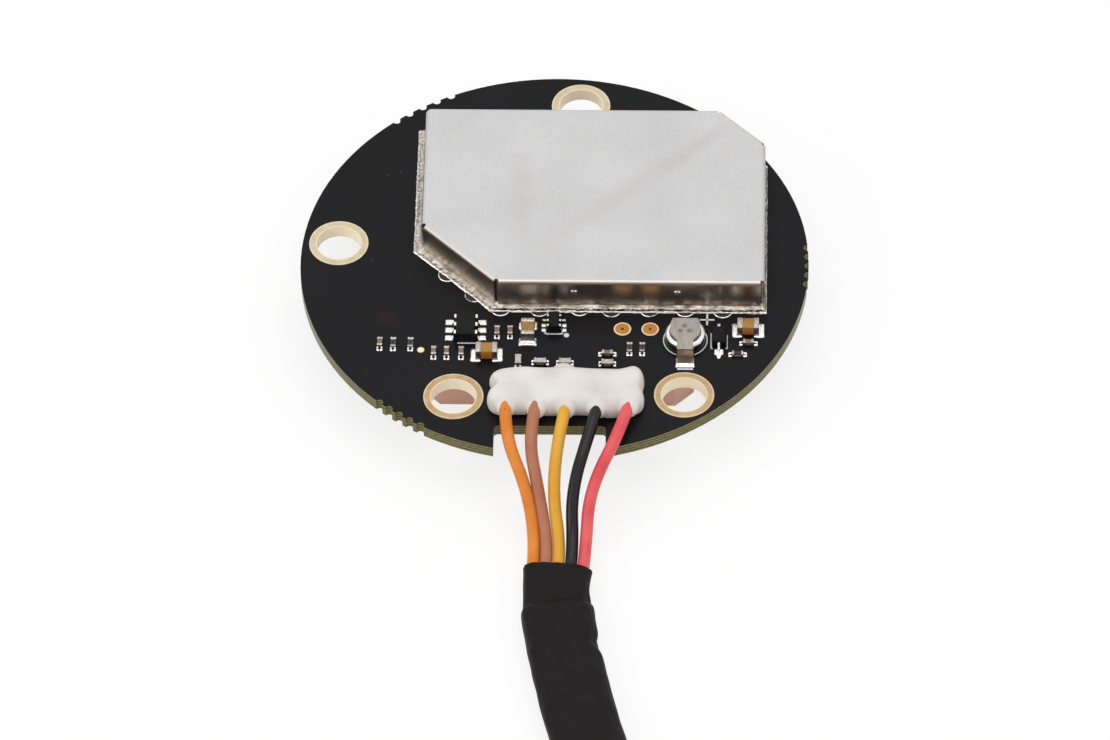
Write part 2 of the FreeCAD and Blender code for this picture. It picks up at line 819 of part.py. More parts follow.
# ---- backup cell ---------------------------------------------------------------------------
def make_backup_cell():
    x, y = cell_place
    seat = board_top + cell_seat
    can_top = seat + cell_can_height
    can = disc(cell_place, cell_radius, seat, can_top)
    can = can.makeFillet(cell_can_edge, edges_where(can, at_height(can_top)))
    gasket_low = can_top - cell_gasket_height
    keep("backup_cell_can", can.cut(disc(cell_place, cell_gasket_radius, gasket_low, can_top)))
    gasket_top = can_top + cell_gasket_height / 2
    gasket = disc(cell_place, cell_gasket_radius, gasket_low, gasket_top)
    keep("backup_cell_gasket", gasket.cut(disc(cell_place, cell_cap_radius, gasket_low, gasket_top)))
    cap_top = can_top + cell_cap_height
    keep("backup_cell_cap", disc(cell_place, cell_cap_radius, gasket_low, cap_top))
    # The top strap: a plate welded to the cap with a tab behind, a neck, a leg and a foot.
    strap_top = cap_top + cell_strap
    plate = disc(cell_place, cell_strap_radius, cap_top, strap_top)
    tab = [
        (x - cell_strap_radius, y),
        (x + cell_strap_radius, y),
        (x + cell_strap_radius, y + cell_tab_shoulder),
        (x + cell_tab_half_width, y + cell_tab_reach),
        (x - cell_tab_half_width, y + cell_tab_reach),
        (x - cell_strap_radius, y + cell_tab_shoulder),
    ]
    leg_out = y - cell_radius - cell_leg_gap
    leg_front = leg_out - cell_strap
    foot_end = leg_out - cell_foot_length
    neck = block((x, (y + leg_front) / 2), (cell_strap_width, y - leg_front), cap_top, strap_top)
    standing = block((x, leg_out - cell_strap / 2), (cell_strap_width, cell_strap), board_top, strap_top)
    foot_size = (cell_strap_width, cell_foot_length, cell_strap)
    foot = block((x, (leg_out + foot_end) / 2), foot_size, board_top)
    strap = plate.fuse([prism(tab, cap_top, strap_top), neck, standing, foot]).removeSplitter()
    keep("backup_cell_top_strap", strap)
    # The bottom strap: a disc under the can with a straight tail to the rear pad.
    tail_end = y + cell_radius + cell_leg_gap
    under = disc(cell_place, cell_strap_radius, board_top, seat)
    tail = block((x, (y + tail_end) / 2), (cell_strap_width, tail_end - y), board_top, seat)
    keep("backup_cell_bottom_strap", under.fuse(tail).removeSplitter())
    pad_reach = cell_pad_length - cell_foot_length
    toe = [(0, 0), (pad_reach, 0), (pad_reach, copper_height), (0, cell_strap)]
    return [side_prism(toe, cell_pad_width, x, foot_end, board_top, -90)]


# ---- lead ----------------------------------------------------------------------------------
def bend_radii(points):
    """The radius at each inner point of a route: as large as its two runs allow."""
    radii = []
    for before, point, after in zip(points, points[1:], points[2:]):
        first, second = point - before, after - point
        half_turn = first.getAngle(second) / 2
        radii.append(bend_share * min(first.Length, second.Length) / math.tan(half_turn))
    return radii


def route_path(points, radii):
    """Straight runs joined by tangent arcs, as one wire."""
    edges = []
    start = points[0]
    for before, point, after, radius in zip(points, points[1:], points[2:], radii):
        first = (point - before).normalize()
        second = (after - point).normalize()
        half_turn = first.getAngle(second) / 2
        setback = radius * math.tan(half_turn)
        arc_start = point - first * setback
        arc_end = point + second * setback
        toward_centre = (second - first).normalize()
        middle = point + toward_centre * (radius / math.cos(half_turn) - radius)
        edges.append(Part.LineSegment(start, arc_start).toShape())
        edges.append(Part.Arc(arc_start, middle, arc_end).toShape())
        start = arc_end
    edges.append(Part.LineSegment(start, points[-1]).toShape())
    return Part.Wire(edges)


def beside(points, shifts):
    """A plan route set to the right of another by a shift at each point, with mitred corners."""
    moved = []
    for number, (point, shift) in enumerate(zip(points, shifts)):
        before = points[max(number - 1, 0)]
        after = points[min(number + 1, len(points) - 1)]
        runs = [run.normalize() for run in (point - before, after - point) if run.Length > 0]
        middle = sum(runs[1:], runs[0]).normalize()
        normal = Vector(-middle.y, middle.x, 0)
        half_turn = runs[0].getAngle(runs[-1]) / 2
        moved.append(point + normal * (shift / math.cos(half_turn)))
    return moved


def row_points():
    return [Vector(x, y, row_height) for x, y in row_route]


def fan_points(name):
    return [Vector(x, y, board_top + z) for x, y, z in fan_routes[name]]


def wire_points(name):
    """The whole route of one wire: its own fan, then its place in the row."""
    number = list(fan_routes).index(name) - (len(fan_routes) - 1) / 2
    middle = row_points()
    close = len(middle) - spread_point_count
    pitches = [wire_pitch] * close + [plug_pitch] * spread_point_count
    row = beside(middle, [number * pitch for pitch in pitches])
    return fan_points(name) + row


def swept(section, path):
    """A section pulled along a path, as a solid."""
    return path.makePipeShell([section], True, False)


def make_wires():
    """The five insulated wires, with each tube's volume held against section times length."""
    tubes = []
    area = math.pi * wire_diameter**2 / 4
    for name in fan_routes:
        points = wire_points(name)
        radii = bend_radii(points)
        path = route_path(points, radii)
        circle = Part.Circle(points[0], points[1] - points[0], wire_diameter / 2).toShape()
        tube = swept(Part.Wire(circle), path)
        share = tube.Volume / (area * path.Length)
        smallest = min(radii)
        print(f"wire {name}: {path.Length:.1f} long, radii from {smallest:.1f}, volume share {share:.4f}")
        print("   radii", " ".join(f"{radius:.1f}" for radius in radii))
        tubes.append(tube)
        keep("wire_" + name, tube)
    return tubes


def flat_section(centre, along, width, height):
    """A flat oval across a level path: two straight sides and two half-round ends."""
    across = Vector(-along.y, along.x, 0)
    up = Vector(0, 0, 1)
    radius = height / 2
    reach = width / 2 - radius
    right, left = centre + across * reach, centre - across * reach
    edges = [
        Part.LineSegment(left - up * radius, right - up * radius).toShape(),
        Part.Arc(right - up * radius, right + across * radius, right + up * radius).toShape(),
        Part.LineSegment(right + up * radius, left + up * radius).toShape(),
        Part.Arc(left + up * radius, left - across * radius, left - up * radius).toShape(),
    ]
    return Part.Wire(edges)


def sleeve(start_y, length, outer, inner):
    """A flat sleeve along the row, from start_y to part of the way along the run where it ends."""
    row = row_points()
    radii = bend_radii(row)
    # The mouth lies on the first run whose end is past start_y.
    first = next(number for number, point in enumerate(row) if point.y < start_y)
    before = row[first - 1]
    share = (start_y - before.y) / (row[first].y - before.y)
    mouth = before + (row[first] - before) * share
    last = first
    left = length - (row[first] - mouth).Length
    while last + 2 < len(row) and left > (row[last + 1] - row[last]).Length:
        left -= (row[last + 1] - row[last]).Length
        last += 1
    end = row[last] + (row[last + 1] - row[last]) * sleeve_end_share
    points = [mouth] + row[first : last + 1] + [end]
    path = route_path(points, radii[first - 1 : last])
    along = (points[1] - points[0]).normalize()
    skin = swept(flat_section(mouth, along, *outer), path)
    hollow = swept(flat_section(mouth, along, *inner), path)
    return skin.cut(hollow)


def make_sleeves():
    wall = 2 * inner_sleeve_wall
    inner = (inner_sleeve_width, inner_sleeve_height)
    hollow = (inner_sleeve_width - wall, inner_sleeve_height - wall)
    keep("inner_sleeve", sleeve(inner_sleeve_mouth, inner_sleeve_length, inner, hollow))
    gap = 2 * sleeve_clearance
    seat = (inner_sleeve_width + gap, inner_sleeve_height + gap)
    outer = (seat[0] + 2 * outer_sleeve_wall, seat[1] + 2 * outer_sleeve_wall)
    keep("outer_sleeve", sleeve(outer_sleeve_mouth, outer_sleeve_length, outer, seat))


def make_plug():
    """A five-way crimp housing at the end of the row, with a latch and two side ribs."""
    row = row_points()
    along = (row[-1] - row[-2]).normalize()
    turn = math.degrees(math.atan2(along.y, along.x))
    rear = -plug_wire_depth
    middle = rear + plug_length / 2
    low = -row_height
    body = block((middle, 0), (plug_length, plug_width, plug_body_height), low)
    body = body.makeFillet(plug_edge, edges_where(body, lambda edge: not upright(edge)))
    top = low + plug_body_height
    latch_middle = rear + plug_length - plug_latch_length / 2 - plug_edge
    latch = block((latch_middle, 0), (plug_latch_length, plug_latch_width, plug_latch_height), top)
    latch = latch.makeChamfer(plug_edge, edges_where(latch, at_height(top + plug_latch_height)))
    parts = [latch]
    for side in (-1, 1):
        rib_place = (latch_middle, side * (plug_width / 2 - plug_rib_width))
        parts.append(block(rib_place, (plug_latch_length, plug_rib_width, plug_rib_height), top))
    body = body.fuse(parts).removeSplitter()
    tools, contacts = [], []
    entry_radius = wire_diameter / 2 + plug_wire_clearance
    channel_size = (plug_length, plug_channel, plug_channel)
    contact_size = (plug_contact_length, plug_contact, plug_contact)
    for number in range(len(fan_routes)):
        y = (number - (len(fan_routes) - 1) / 2) * plug_pitch
        entry = Part.makeCylinder(entry_radius, plug_wire_depth, Vector(rear, y, 0), Vector(1, 0, 0))
        channel = block((plug_length / 2, y), channel_size, -plug_channel / 2)
        tools += [entry, channel]
        contact = block((plug_contact_length / 2, y), contact_size, -plug_contact / 2)
        contacts.append(placed(contact, *row[-1], turn))
    keep("plug_housing", placed(body.cut(tools), *row[-1], turn))
    keep("plug_contacts", *contacts)


def make_wire_joints(tubes, chips):
    """The stripped wire ends, their solder, and the silicone run round them and the chips."""
    ends, joints = [], []
    for name in fan_routes:
        start, second = fan_points(name)[:2]
        back = (start - second).normalize()
        end = Part.makeCylinder(conductor_radius, conductor_length, start, back)
        middle = start + back * (conductor_length / 2)
        seat = Vector(middle.x, middle.y, board_top)
        cone = Part.makeCone(joint_radius, joint_top_radius, joint_height, seat)
        ends.append(end)
        joints.append(cone.cut([end] + tubes))
    keep("wire_ends", *ends)
    keep("wire_solder_joints", *joints)
    high = board_top + potting_height
    width = potting_right - potting_left
    depth = potting_back - potting_front
    middle = ((potting_left + potting_right) / 2, (potting_front + potting_back) / 2)
    pad = block(middle, (width, depth, potting_height), board_top)
    pad = pad.makeFillet(potting_corner, edges_where(pad, upright))
    pad = pad.makeFillet(potting_round, edges_where(pad, at_height(high)))
    bump_place = (potting_bump_place, potting_back)
    bump = disc(bump_place, potting_bump_radius, board_top, board_top + potting_bump_height)
    potting = pad.fuse(bump).removeSplitter().cut(tubes + ends + joints + chips)
    keep("silicone_potting", potting)


def main():
    make_board()
    make_hole_platings()
    make_gold_pads()
    make_antenna()
    make_shield_lid()
    make_shield_frame()
    make_shield_solder()
    make_solder_domes()
    solder = make_chips("large_capacitor", large_chip, large_pad, large_capacitor_places)
    capacitors = small_capacitor_places + shielded_capacitor_places
    solder += make_chips("small_capacitor", small_chip, small_pad, capacitors)
    resistors = resistor_places + shielded_resistor_places
    solder += make_chips("resistor", flat_chip, small_pad, resistors)
    solder += make_chips("line_filter", filter_chip, filter_pad, line_filter_places)
    solder += make_legged_package(
        "voltage_regulator",
        regulator_place,
        regulator_body,
        regulator_pitch,
        regulator_span,
        regulator_lead_width,
        regulator_pad_reach,
    )
    solder += make_legged_package(
        "signal_buffer",
        buffer_place,
        buffer_body,
        buffer_pitch,
        buffer_span,
        buffer_lead_width,
        buffer_pad_reach,
    )
    solder += make_diode()
    make_radio_section()
    solder += make_backup_cell()
    keep("component_solder", *solder)
    tubes = make_wires()
    chips = nodes["line_filter_bodies"].Solids + nodes["line_filter_end_caps"].Solids
    make_wire_joints(tubes, chips + solder)
    make_sleeves()
    make_plug()
    os.makedirs("parts", exist_ok=True)
    for name, shape in nodes.items():
        if not shape.isValid():
            print("not valid:", name)
        shape.exportStep(f"parts/{name}.step")
    print(len(nodes), "nodes,", sum(len(shape.Solids) for shape in nodes.values()), "solids")


main()
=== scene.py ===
"""Looks of a board-level satellite navigation receiver, in metres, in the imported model's frame."""

import math

import bmesh
import bpy
from mathutils import Matrix, Vector, noise


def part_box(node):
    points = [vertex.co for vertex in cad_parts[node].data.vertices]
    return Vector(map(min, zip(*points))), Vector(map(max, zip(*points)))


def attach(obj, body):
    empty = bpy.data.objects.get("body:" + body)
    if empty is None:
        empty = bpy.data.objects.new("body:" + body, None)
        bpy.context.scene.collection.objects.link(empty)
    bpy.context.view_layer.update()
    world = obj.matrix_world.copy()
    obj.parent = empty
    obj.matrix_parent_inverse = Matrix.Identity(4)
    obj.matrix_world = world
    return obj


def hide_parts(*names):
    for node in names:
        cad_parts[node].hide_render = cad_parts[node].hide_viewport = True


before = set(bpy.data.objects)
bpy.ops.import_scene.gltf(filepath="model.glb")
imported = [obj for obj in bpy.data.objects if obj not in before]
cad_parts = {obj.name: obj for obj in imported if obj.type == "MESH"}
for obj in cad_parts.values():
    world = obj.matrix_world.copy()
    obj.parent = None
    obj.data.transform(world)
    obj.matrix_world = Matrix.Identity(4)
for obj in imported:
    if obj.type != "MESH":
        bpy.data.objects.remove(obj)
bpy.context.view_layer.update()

MM = 0.001

# ---- sizes, in millimetres unless a name says otherwise -------------------------------------
# Lead: each wire's own way from the silicone to the row, then the row's middle to the plug.
WIRE_DIAMETER = 1.14
WIRE_PITCH = 1.14
PLUG_PITCH = 1.25
SPREAD_POINTS = 2
ROW_HEIGHT = 1.4
FAN_ROUTES = {
    "orange": ((-4.05, -16.6, 6.9), (-4.25, -22.0, 7.15), (-1.85, -27.0, 4.35)),
    "brown": ((-0.9, -16.6, 6.9), (-2.0, -22.2, 7.15), (-0.9, -27.0, 4.35)),
    "yellow": ((1.85, -16.6, 6.9), (0.9, -22.0, 7.15), (0.35, -27.0, 4.35)),
    "black": ((4.85, -16.6, 6.9), (3.7, -22.0, 7.15), (2.05, -27.0, 4.35)),
    "red": ((7.7, -16.6, 6.9), (6.6, -21.7, 7.25), (3.7, -26.8, 4.45)),
}
ROW_ROUTE = (
    (1.15, -31.2),
    (0.7, -37.0),
    (1.8, -44.0),
    (3.4, -51.4),
    (5.6, -59.0),
    (9.3, -66.3),
    (15.2, -72.5),
    (23.2, -75.9),
    (31.9, -75.4),
    (39.4, -71.2),
    (44.4, -64.3),
)
SILICONE_EXIT_Y = -18.9
# Sleeves: where each mouth lies, and each one's length, width, height and wall.
INNER_MOUTH_Y = -33.9
INNER_LENGTH = 54.0
INNER_WIDTH = 6.12
INNER_HEIGHT = 2.2
INNER_WALL = 0.17
OUTER_MOUTH_Y = -38.3
OUTER_LENGTH = 33.0
OUTER_WIDTH = 6.18
OUTER_HEIGHT = 2.3
OUTER_WALL = 0.2

# Shield: how much of each corner is cut away, on the lid and on the solder land round it.
LID_CUTS = (7.0, 4.3)
LAND_CUTS = (7.4, 4.35)
FENCE_INSET = 0.3
FENCE_SHEET = 0.2
LAND_STEP = 0.11
# Across the land from its outer edge to the fence: share of the way, and height.
LAND_PROFILE = (
    (0.0, 0.0),
    (0.02, 0.07),
    (0.07, 0.11),
    (0.14, 0.12),
    (0.22, 0.1),
    (0.32, 0.09),
    (0.42, 0.12),
    (0.54, 0.16),
    (0.66, 0.2),
    (0.78, 0.26),
    (0.9, 0.33),
    (1.0, 0.36),
)
# How grainy the land is along each side, from the chamfer's front end round.
LAND_GRAIN = (0.25, 1.0, 0.6, 0.5, 0.5, 0.3)
# The pool inside the fence: how far it runs in, and how grainy it is along each side.
POOL_WIDTH = 0.5
POOL_GRAIN = (0.3,) * 6
DOME_RADIUS = 0.88
DOME_HEIGHT = 0.06
# How far a dome shows past the land, along the land's front and at its corners.
DOME_REACH = 0.5
CORNER_DOME_REACH = 0.52

# Six-legged parts: a foot's length past its bend, and how much wider its pool is.
WIDE_FOOT = (0.36, 0.1)
NARROW_FOOT = (0.38, 0.08)
FOOT_POOL_HEIGHT = 0.16
LEAD_POOL_HEIGHT = 0.2
# A wide cap's pad: how far it runs in under the part, how much wider it is, and its height.
PAD_UNDER = 0.5
PAD_SPARE = 0.22
PAD_HEIGHT = 0.13

# The printed ink, and the width of its lines.
INK_THICKNESS = 0.02
STROKE = 0.13

# Backup cell: its strap, the strap's foot, and the solder pad under the foot.
CELL_STRAP_WIDTH = 1.5
CELL_FOOT_LENGTH = 0.8
CELL_PAD_WIDTH = 1.75
# The pad's solder runs out in front of the foot, and is rounded at its edge.
CELL_PAD_REACH = 0.33
CELL_PAD_RIM = 0.08
# Weld scars on the cell's strap, from its middle.
WELD_SPOTS = ((-0.1, 0.5), (-0.46, -0.12), (0.36, -0.14))

# Snap dimples in the lid's front wall, each shown by a pair of painted glints.
DIMPLES = (1.925, 11.425)
DIMPLE_GAP = 0.3
DIMPLE_DEPTH = 0.08
DIMPLE_HEIGHT = 7.73

# The tongue of silicone that crept back over a filter: its middle, from the board's top, and
# half-sizes.
TONGUE = ((1.25, -14.2, 0.1), (1.35, 1.35, 0.9))
# Where the silicone creeps along each wire: how far behind its exit, how far under its middle,
# and half-sizes. The further out the lower, so the wire surfaces little by little.
COLLAR = ((0.75, 0.05, (0.95, 1.2, 0.85)), (0.05, 0.16, (0.95, 1.05, 0.84)))

# A spot of the orange wire scorched by the iron.
SCORCH = (-4.1, -19.8, 7.6)

# Flux has yellowed the gold in front of a line, and left a faint smudge on the board.
FLUX_EDGE_Y = -8.0
SMUDGE = Vector((-15.3, -7.0, 5.65))

# Middle, way in degrees, length, width and strength of each wiped smear on the lid.
SMEARS = (
    ((-3.1, 5.4), 90, 13.0, 2.6, 0.15),
    ((-3.3, 10.3), 0, 3.0, 1.6, 0.12),
    ((7.2, 6.6), 42, 26.0, 2.6, 0.13),
    ((13.0, 11.6), 42, 11.0, 1.8, 0.16),
)

# Silicone: its foot on the board, as x, y and how far in its shoulder reaches.
SILICONE_HEIGHT = 2.1
SILICONE_FOOT = (
    (-4.5, -19.2, 1.3),
    (-5.4, -18.75, 1.1),
    (-5.75, -17.9, 0.9),
    (-5.55, -17.1, 0.8),
    (-5.0, -16.5, 0.6),
    (-5.5, -15.9, 0.8),
    (-5.5, -15.2, 1.2),
    (-4.9, -14.6, 1.5),
    (-3.9, -14.25, 1.6),
    (-2.6, -14.1, 1.6),
    (-1.2, -14.2, 1.5),
    (0.0, -14.15, 1.5),
    (1.2, -13.95, 1.5),
    (2.4, -14.1, 1.5),
    (3.8, -14.2, 1.5),
    (5.2, -14.2, 1.5),
    (6.4, -14.2, 1.4),
    (7.4, -13.95, 1.2),
    (8.1, -14.2, 1.0),
    (8.5, -14.9, 0.9),
    (8.55, -15.8, 0.8),
    (8.42, -16.6, 0.8),
    (8.55, -17.3, 0.9),
    (8.5, -18.1, 1.0),
    (8.1, -18.8, 1.1),
    (7.3, -19.15, 1.2),
    (6.3, -19.4, 1.3),
    (5.3, -19.5, 1.4),
    (4.3, -19.3, 1.3),
    (3.2, -19.15, 1.3),
    (1.6, -19.2, 1.3),
    (0.2, -19.15, 1.3),
    (-1.4, -19.2, 1.3),
    (-3.0, -19.25, 1.3),
)
# Up the silicone's side: share of the shoulder's reach, and share of the height.
SILICONE_SIDE = (
    (0.1, 0.0),
    (0.0, 0.16),
    (0.0, 0.34),
    (0.05, 0.52),
    (0.15, 0.68),
    (0.3, 0.82),
    (0.52, 0.92),
    (0.78, 0.98),
    (1.0, 1.0),
)

# Camera: a long lens, so the board is seen nearly without perspective.
CAMERA_YAW = 2.0
CAMERA_ELEVATION = 48.08
CAMERA_ROLL = -1.077
CAMERA_DISTANCE = 760.57
CAMERA_LENS = 266.71
CAMERA_AIM = (0.12, -7.43, -1.02)


# ---- small helpers --------------------------------------------------------------------------
def linear(hex_colour):
    """An sRGB hex colour as linear RGBA."""
    values = [int(hex_colour[place : place + 2], 16) / 255 for place in (1, 3, 5)]
    bent = [v / 12.92 if v <= 0.04045 else ((v + 0.055) / 1.055) ** 2.4 for v in values]
    return (*bent, 1.0)


def add(tree, kind, inputs=None, stops=(), **settings):
    """Adds a node with its settings, fills its inputs, and gives a ramp its stops."""
    # A shader node goes by its short name.
    node = tree.nodes.new(kind if "Node" in kind else "ShaderNode" + kind)
    for name, value in settings.items():
        setattr(node, name, value)
    while stops and len(node.color_ramp.elements) < len(stops):
        node.color_ramp.elements.new(0.5)
    for number, (position, colour) in enumerate(stops):
        element = node.color_ramp.elements[number]
        element.position = position
        element.color = linear(colour) if isinstance(colour, str) else (colour,) * 3 + (1.0,)
    fill(tree, node, inputs or {})
    return node


def fill(tree, node, inputs):
    """Gives inputs of a node their numbers, hex colours, or the nodes or outputs they take."""
    for name, value in inputs.items():
        # A node with several kinds of data keeps a hidden socket of the same name for each.
        socket = name if isinstance(name, int) else next(
            number for number, one in enumerate(node.inputs) if one.name == name and one.enabled
        )
        if isinstance(value, bpy.types.Node):
            value = next(one for one in value.outputs if one.enabled)
        if isinstance(value, bpy.types.NodeSocket):
            tree.links.new(value, node.inputs[socket])
        elif isinstance(value, str) and value.startswith("#"):
            node.inputs[socket].default_value = linear(value)
        else:
            node.inputs[socket].default_value = value


def per_mm(size):
    """The texture scale whose features are that many millimetres across."""
    return 1 / (size * MM)


def begin_material(name, **sockets):
    """A material, its tree, its one Principled shader, and the place on the piece."""
    material = bpy.data.materials.new(name)
    material.use_nodes = True
    tree = material.node_tree
    tree.nodes.clear()
    shader = add(tree, "BsdfPrincipled", sockets)
    add(tree, "OutputMaterial", {"Surface": shader})
    place = add(tree, "TexCoord").outputs["Object"]
    return material, tree, shader, place


def away_from(tree, place, centres):
    """The distance, in metres, from the nearest of some points."""
    nearest = None
    for centre in centres:
        gap = add(tree, "VectorMath", {0: place, 1: Vector(centre)}, operation="DISTANCE")
        if nearest:
            gap = add(tree, "Math", {0: nearest, 1: gap}, operation="MINIMUM")
        nearest = gap
    return nearest


def by_distance(tree, distance, stops):
    """A colour or share by a distance, from (millimetres, colour) stops."""
    reach = stops[-1][0]
    share = add(tree, "MapRange", {"Value": distance, "From Max": reach * MM})
    shares = [(at / reach, colour) for at, colour in stops]
    return add(tree, "ValToRGB", {"Fac": share}, stops=shares)


def level_share(tree):
    """How level the surface is, from 0 on a wall to 1 on a flat."""
    normal = add(tree, "SeparateXYZ", {"Vector": add(tree, "TexCoord").outputs["Normal"]})
    return add(tree, "Math", {0: normal.outputs["Z"]}, operation="ABSOLUTE")


# ---- materials ------------------------------------------------------------------------------
def soldermask_laminate():
    """Black soldermask over glass laminate: semi-gloss skin, olive sawn rim with glass layers."""
    material, tree, shader, place = begin_material("black_soldermask_laminate", Roughness=0.3)
    fill(tree, shader, {"Specular IOR Level": 0.12})
    cloud = add(tree, "TexNoise", {"Vector": place, "Scale": per_mm(9.0), "Detail": 3.0})
    mask = add(tree, "ValToRGB", {"Fac": cloud}, stops=[(0.35, "#121113"), (0.65, "#161518")])
    # Dust: sparse grey flecks about 0.1 mm across.
    speck = add(tree, "TexVoronoi", {"Vector": place, "Scale": per_mm(1.7), "Randomness": 1.0})
    fleck = add(
        tree, "ValToRGB", {"Fac": speck.outputs["Distance"]}, stops=[(0.03, 1.0), (0.06, 0.0)]
    )
    mottle = add(tree, "TexNoise", {"Vector": place, "Scale": per_mm(3.1)})
    rare = add(tree, "ValToRGB", {"Fac": mottle}, stops=[(0.6, 0.0), (0.66, 1.0)])
    share = add(tree, "Math", {0: fleck, 1: rare}, operation="MULTIPLY")
    dusty = add(tree, "Mix", {"Factor": share, "A": mask, "B": "#4b4a4c"}, data_type="RGBA")
    # A faint wine-red smudge of flux at the left.
    smudge = by_distance(tree, away_from(tree, place, [SMUDGE * MM]), [(0.2, 1.0), (1.1, 0.0)])
    share = add(tree, "Math", {0: smudge, 1: 0.5}, operation="MULTIPLY")
    marked = add(tree, "Mix", {"Factor": share, "A": dusty, "B": "#36171c"}, data_type="RGBA")
    # The rim: layers of glass cloth 0.17 mm apart in olive resin.
    layers = add(
        tree,
        "TexWave",
        {
            "Vector": place,
            "Scale": per_mm(0.17) / 6.28,
            "Distortion": 1.2,
            "Detail": 2.0,
            "Detail Scale": 3.0,
        },
        bands_direction="Z",
    )
    fibre = add(
        tree, "TexNoise", {"Vector": place, "Scale": per_mm(0.35), "Detail": 4.0, "Roughness": 0.7}
    )
    mixed = add(tree, "Math", {0: layers.outputs["Fac"], 1: fibre}, operation="MULTIPLY")
    rim = add(
        tree,
        "ValToRGB",
        {"Fac": mixed},
        stops=[(0.1, "#5a5535"), (0.35, "#787149"), (0.7, "#a09a70")],
    )
    # Faces that look sideways are the rim.
    side = add(tree, "Math", {0: level_share(tree), 1: 0.5}, operation="LESS_THAN")
    skin = add(tree, "Mix", {"Factor": side, "A": marked, "B": rim}, data_type="RGBA")
    fill(tree, shader, {"Base Color": skin})
    grit = add(tree, "TexNoise", {"Vector": place, "Scale": per_mm(0.6)})
    fill(tree, shader, {"Normal": add(tree, "Bump", {"Height": grit, "Distance": 0.003 * MM})})
    return material


def plated_gold():
    """Immersion gold over copper: warm satin metal, with painted highlight at its edges and painted
    light down the barrels.
    """
    material, tree, shader, place = begin_material("immersion_gold", Metallic=0.85)
    holes = []
    for points in lumps("mounting_hole_platings"):
        low, high = corners(points)
        middle = (low + high) / 2
        middle.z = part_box("pcb_board")[1].z
        holes.append(middle)
    gap = away_from(tree, place, holes)
    tone = add(tree, "TexNoise", {"Vector": place, "Scale": per_mm(0.8), "Detail": 3.0})
    filmed = add(tree, "ValToRGB", {"Fac": tone}, stops=[(0.3, "#ae906c"), (0.7, "#bea580")])
    # The rings behind the line are clean, and so paler.
    along = add(tree, "SeparateXYZ", {"Vector": place}).outputs["Y"]
    clean = add(tree, "ValToRGB", {"Fac": tone}, stops=[(0.3, "#bfb197"), (0.7, "#cfc2a8")])
    behind = add(tree, "Math", {0: along, 1: FLUX_EDGE_Y * MM}, operation="GREATER_THAN")
    face = add(tree, "Mix", {"Factor": behind, "A": filmed, "B": clean}, data_type="RGBA")
    ragged = add(tree, "Math", {0: tone, 1: 0.1 * MM}, operation="MULTIPLY")
    reach = add(tree, "Math", {0: gap, 1: ragged}, operation="ADD")
    # Painted highlight on the rounded edges of each ring, inside and out.
    edges = by_distance(
        tree, reach, [(0.0, 0.9), (2.12, 0.9), (2.22, 0.05), (2.6, 0.0), (2.72, 0.4), (3.0, 0.4)]
    )
    edge_highlit = add(tree, "Mix", {"Factor": edges, "A": face, "B": "#f3dfb6"}, data_type="RGBA")
    # The barrels are painted pale and made less metallic: painted light from below.
    lit_barrel_share = add(tree, "ValToRGB", {"Fac": level_share(tree)}, stops=[(0.3, 1.0), (0.6, 0.0)])
    skin = add(tree, "Mix", {"Factor": lit_barrel_share, "A": edge_highlit, "B": "#fff1d8"}, data_type="RGBA")
    fill(tree, shader, {"Base Color": skin})
    dulled = add(tree, "Math", {0: lit_barrel_share, 1: 0.8}, operation="MULTIPLY")
    metal = add(tree, "Math", {0: 0.85, 1: dulled}, operation="SUBTRACT")
    fill(tree, shader, {"Metallic": metal})
    mottle = add(tree, "TexNoise", {"Vector": place, "Scale": per_mm(0.25)})
    rough = add(tree, "ValToRGB", {"Fac": mottle}, stops=[(0.3, 0.34), (0.7, 0.46)])
    fill(tree, shader, {"Roughness": rough})
    grit = add(tree, "TexNoise", {"Vector": place, "Scale": per_mm(0.12)})
    fill(tree, shader, {"Normal": add(tree, "Bump", {"Height": grit, "Distance": 0.004 * MM})})
    return material


def bare_gold_pad():
    """Test pads: orange gold under a flux film, with a paler rim and painted shade in the hole; the
    small via is paler still.
    """
    material, tree, shader, place = begin_material("fluxed_gold_pad", Metallic=0.4, Roughness=0.42)
    pads, vias = [], []
    for points in lumps("gold_test_pads"):
        low, high = corners(points)
        middle = (low + high) / 2
        middle.z = high.z
        (pads if high.x - low.x > 1.0 * MM else vias).append(middle)
    tone = add(tree, "TexNoise", {"Vector": place, "Scale": per_mm(0.4), "Detail": 3.0})
    film = add(tree, "ValToRGB", {"Fac": tone}, stops=[(0.3, "#b8782f"), (0.7, "#c98b44")])
    from_pad = away_from(tree, place, pads)
    rim = by_distance(tree, from_pad, [(0.0, 0.0), (0.64, 0.0), (0.7, 1.0), (1.2, 1.0)])
    # A dark dot of painted shade where the pad's hole is.
    hole_shade = by_distance(tree, from_pad, [(0.0, 1.0), (0.1, 1.0), (0.14, 0.0)])
    filmed = add(tree, "Mix", {"Factor": rim, "A": film, "B": "#f2dcb4"}, data_type="RGBA")
    hole_shaded = add(tree, "Mix", {"Factor": hole_shade, "A": filmed, "B": "#5a3a1c"}, data_type="RGBA")
    from_via = away_from(tree, place, vias)
    near_via = by_distance(tree, from_via, [(0.0, 1.0), (0.4, 1.0), (0.45, 0.0)])
    heart = by_distance(tree, from_via, [(0.0, 1.0), (0.12, 0.6), (0.2, 0.0)])
    via = add(tree, "Mix", {"Factor": heart, "A": "#f3d9ab", "B": "#fbf4e6"}, data_type="RGBA")
    skin = add(tree, "Mix", {"Factor": near_via, "A": hole_shaded, "B": via}, data_type="RGBA")
    fill(tree, shader, {"Base Color": skin})
    fill(tree, shader, {"Normal": add(tree, "Bump", {"Height": tone, "Distance": 0.004 * MM})})
    return material


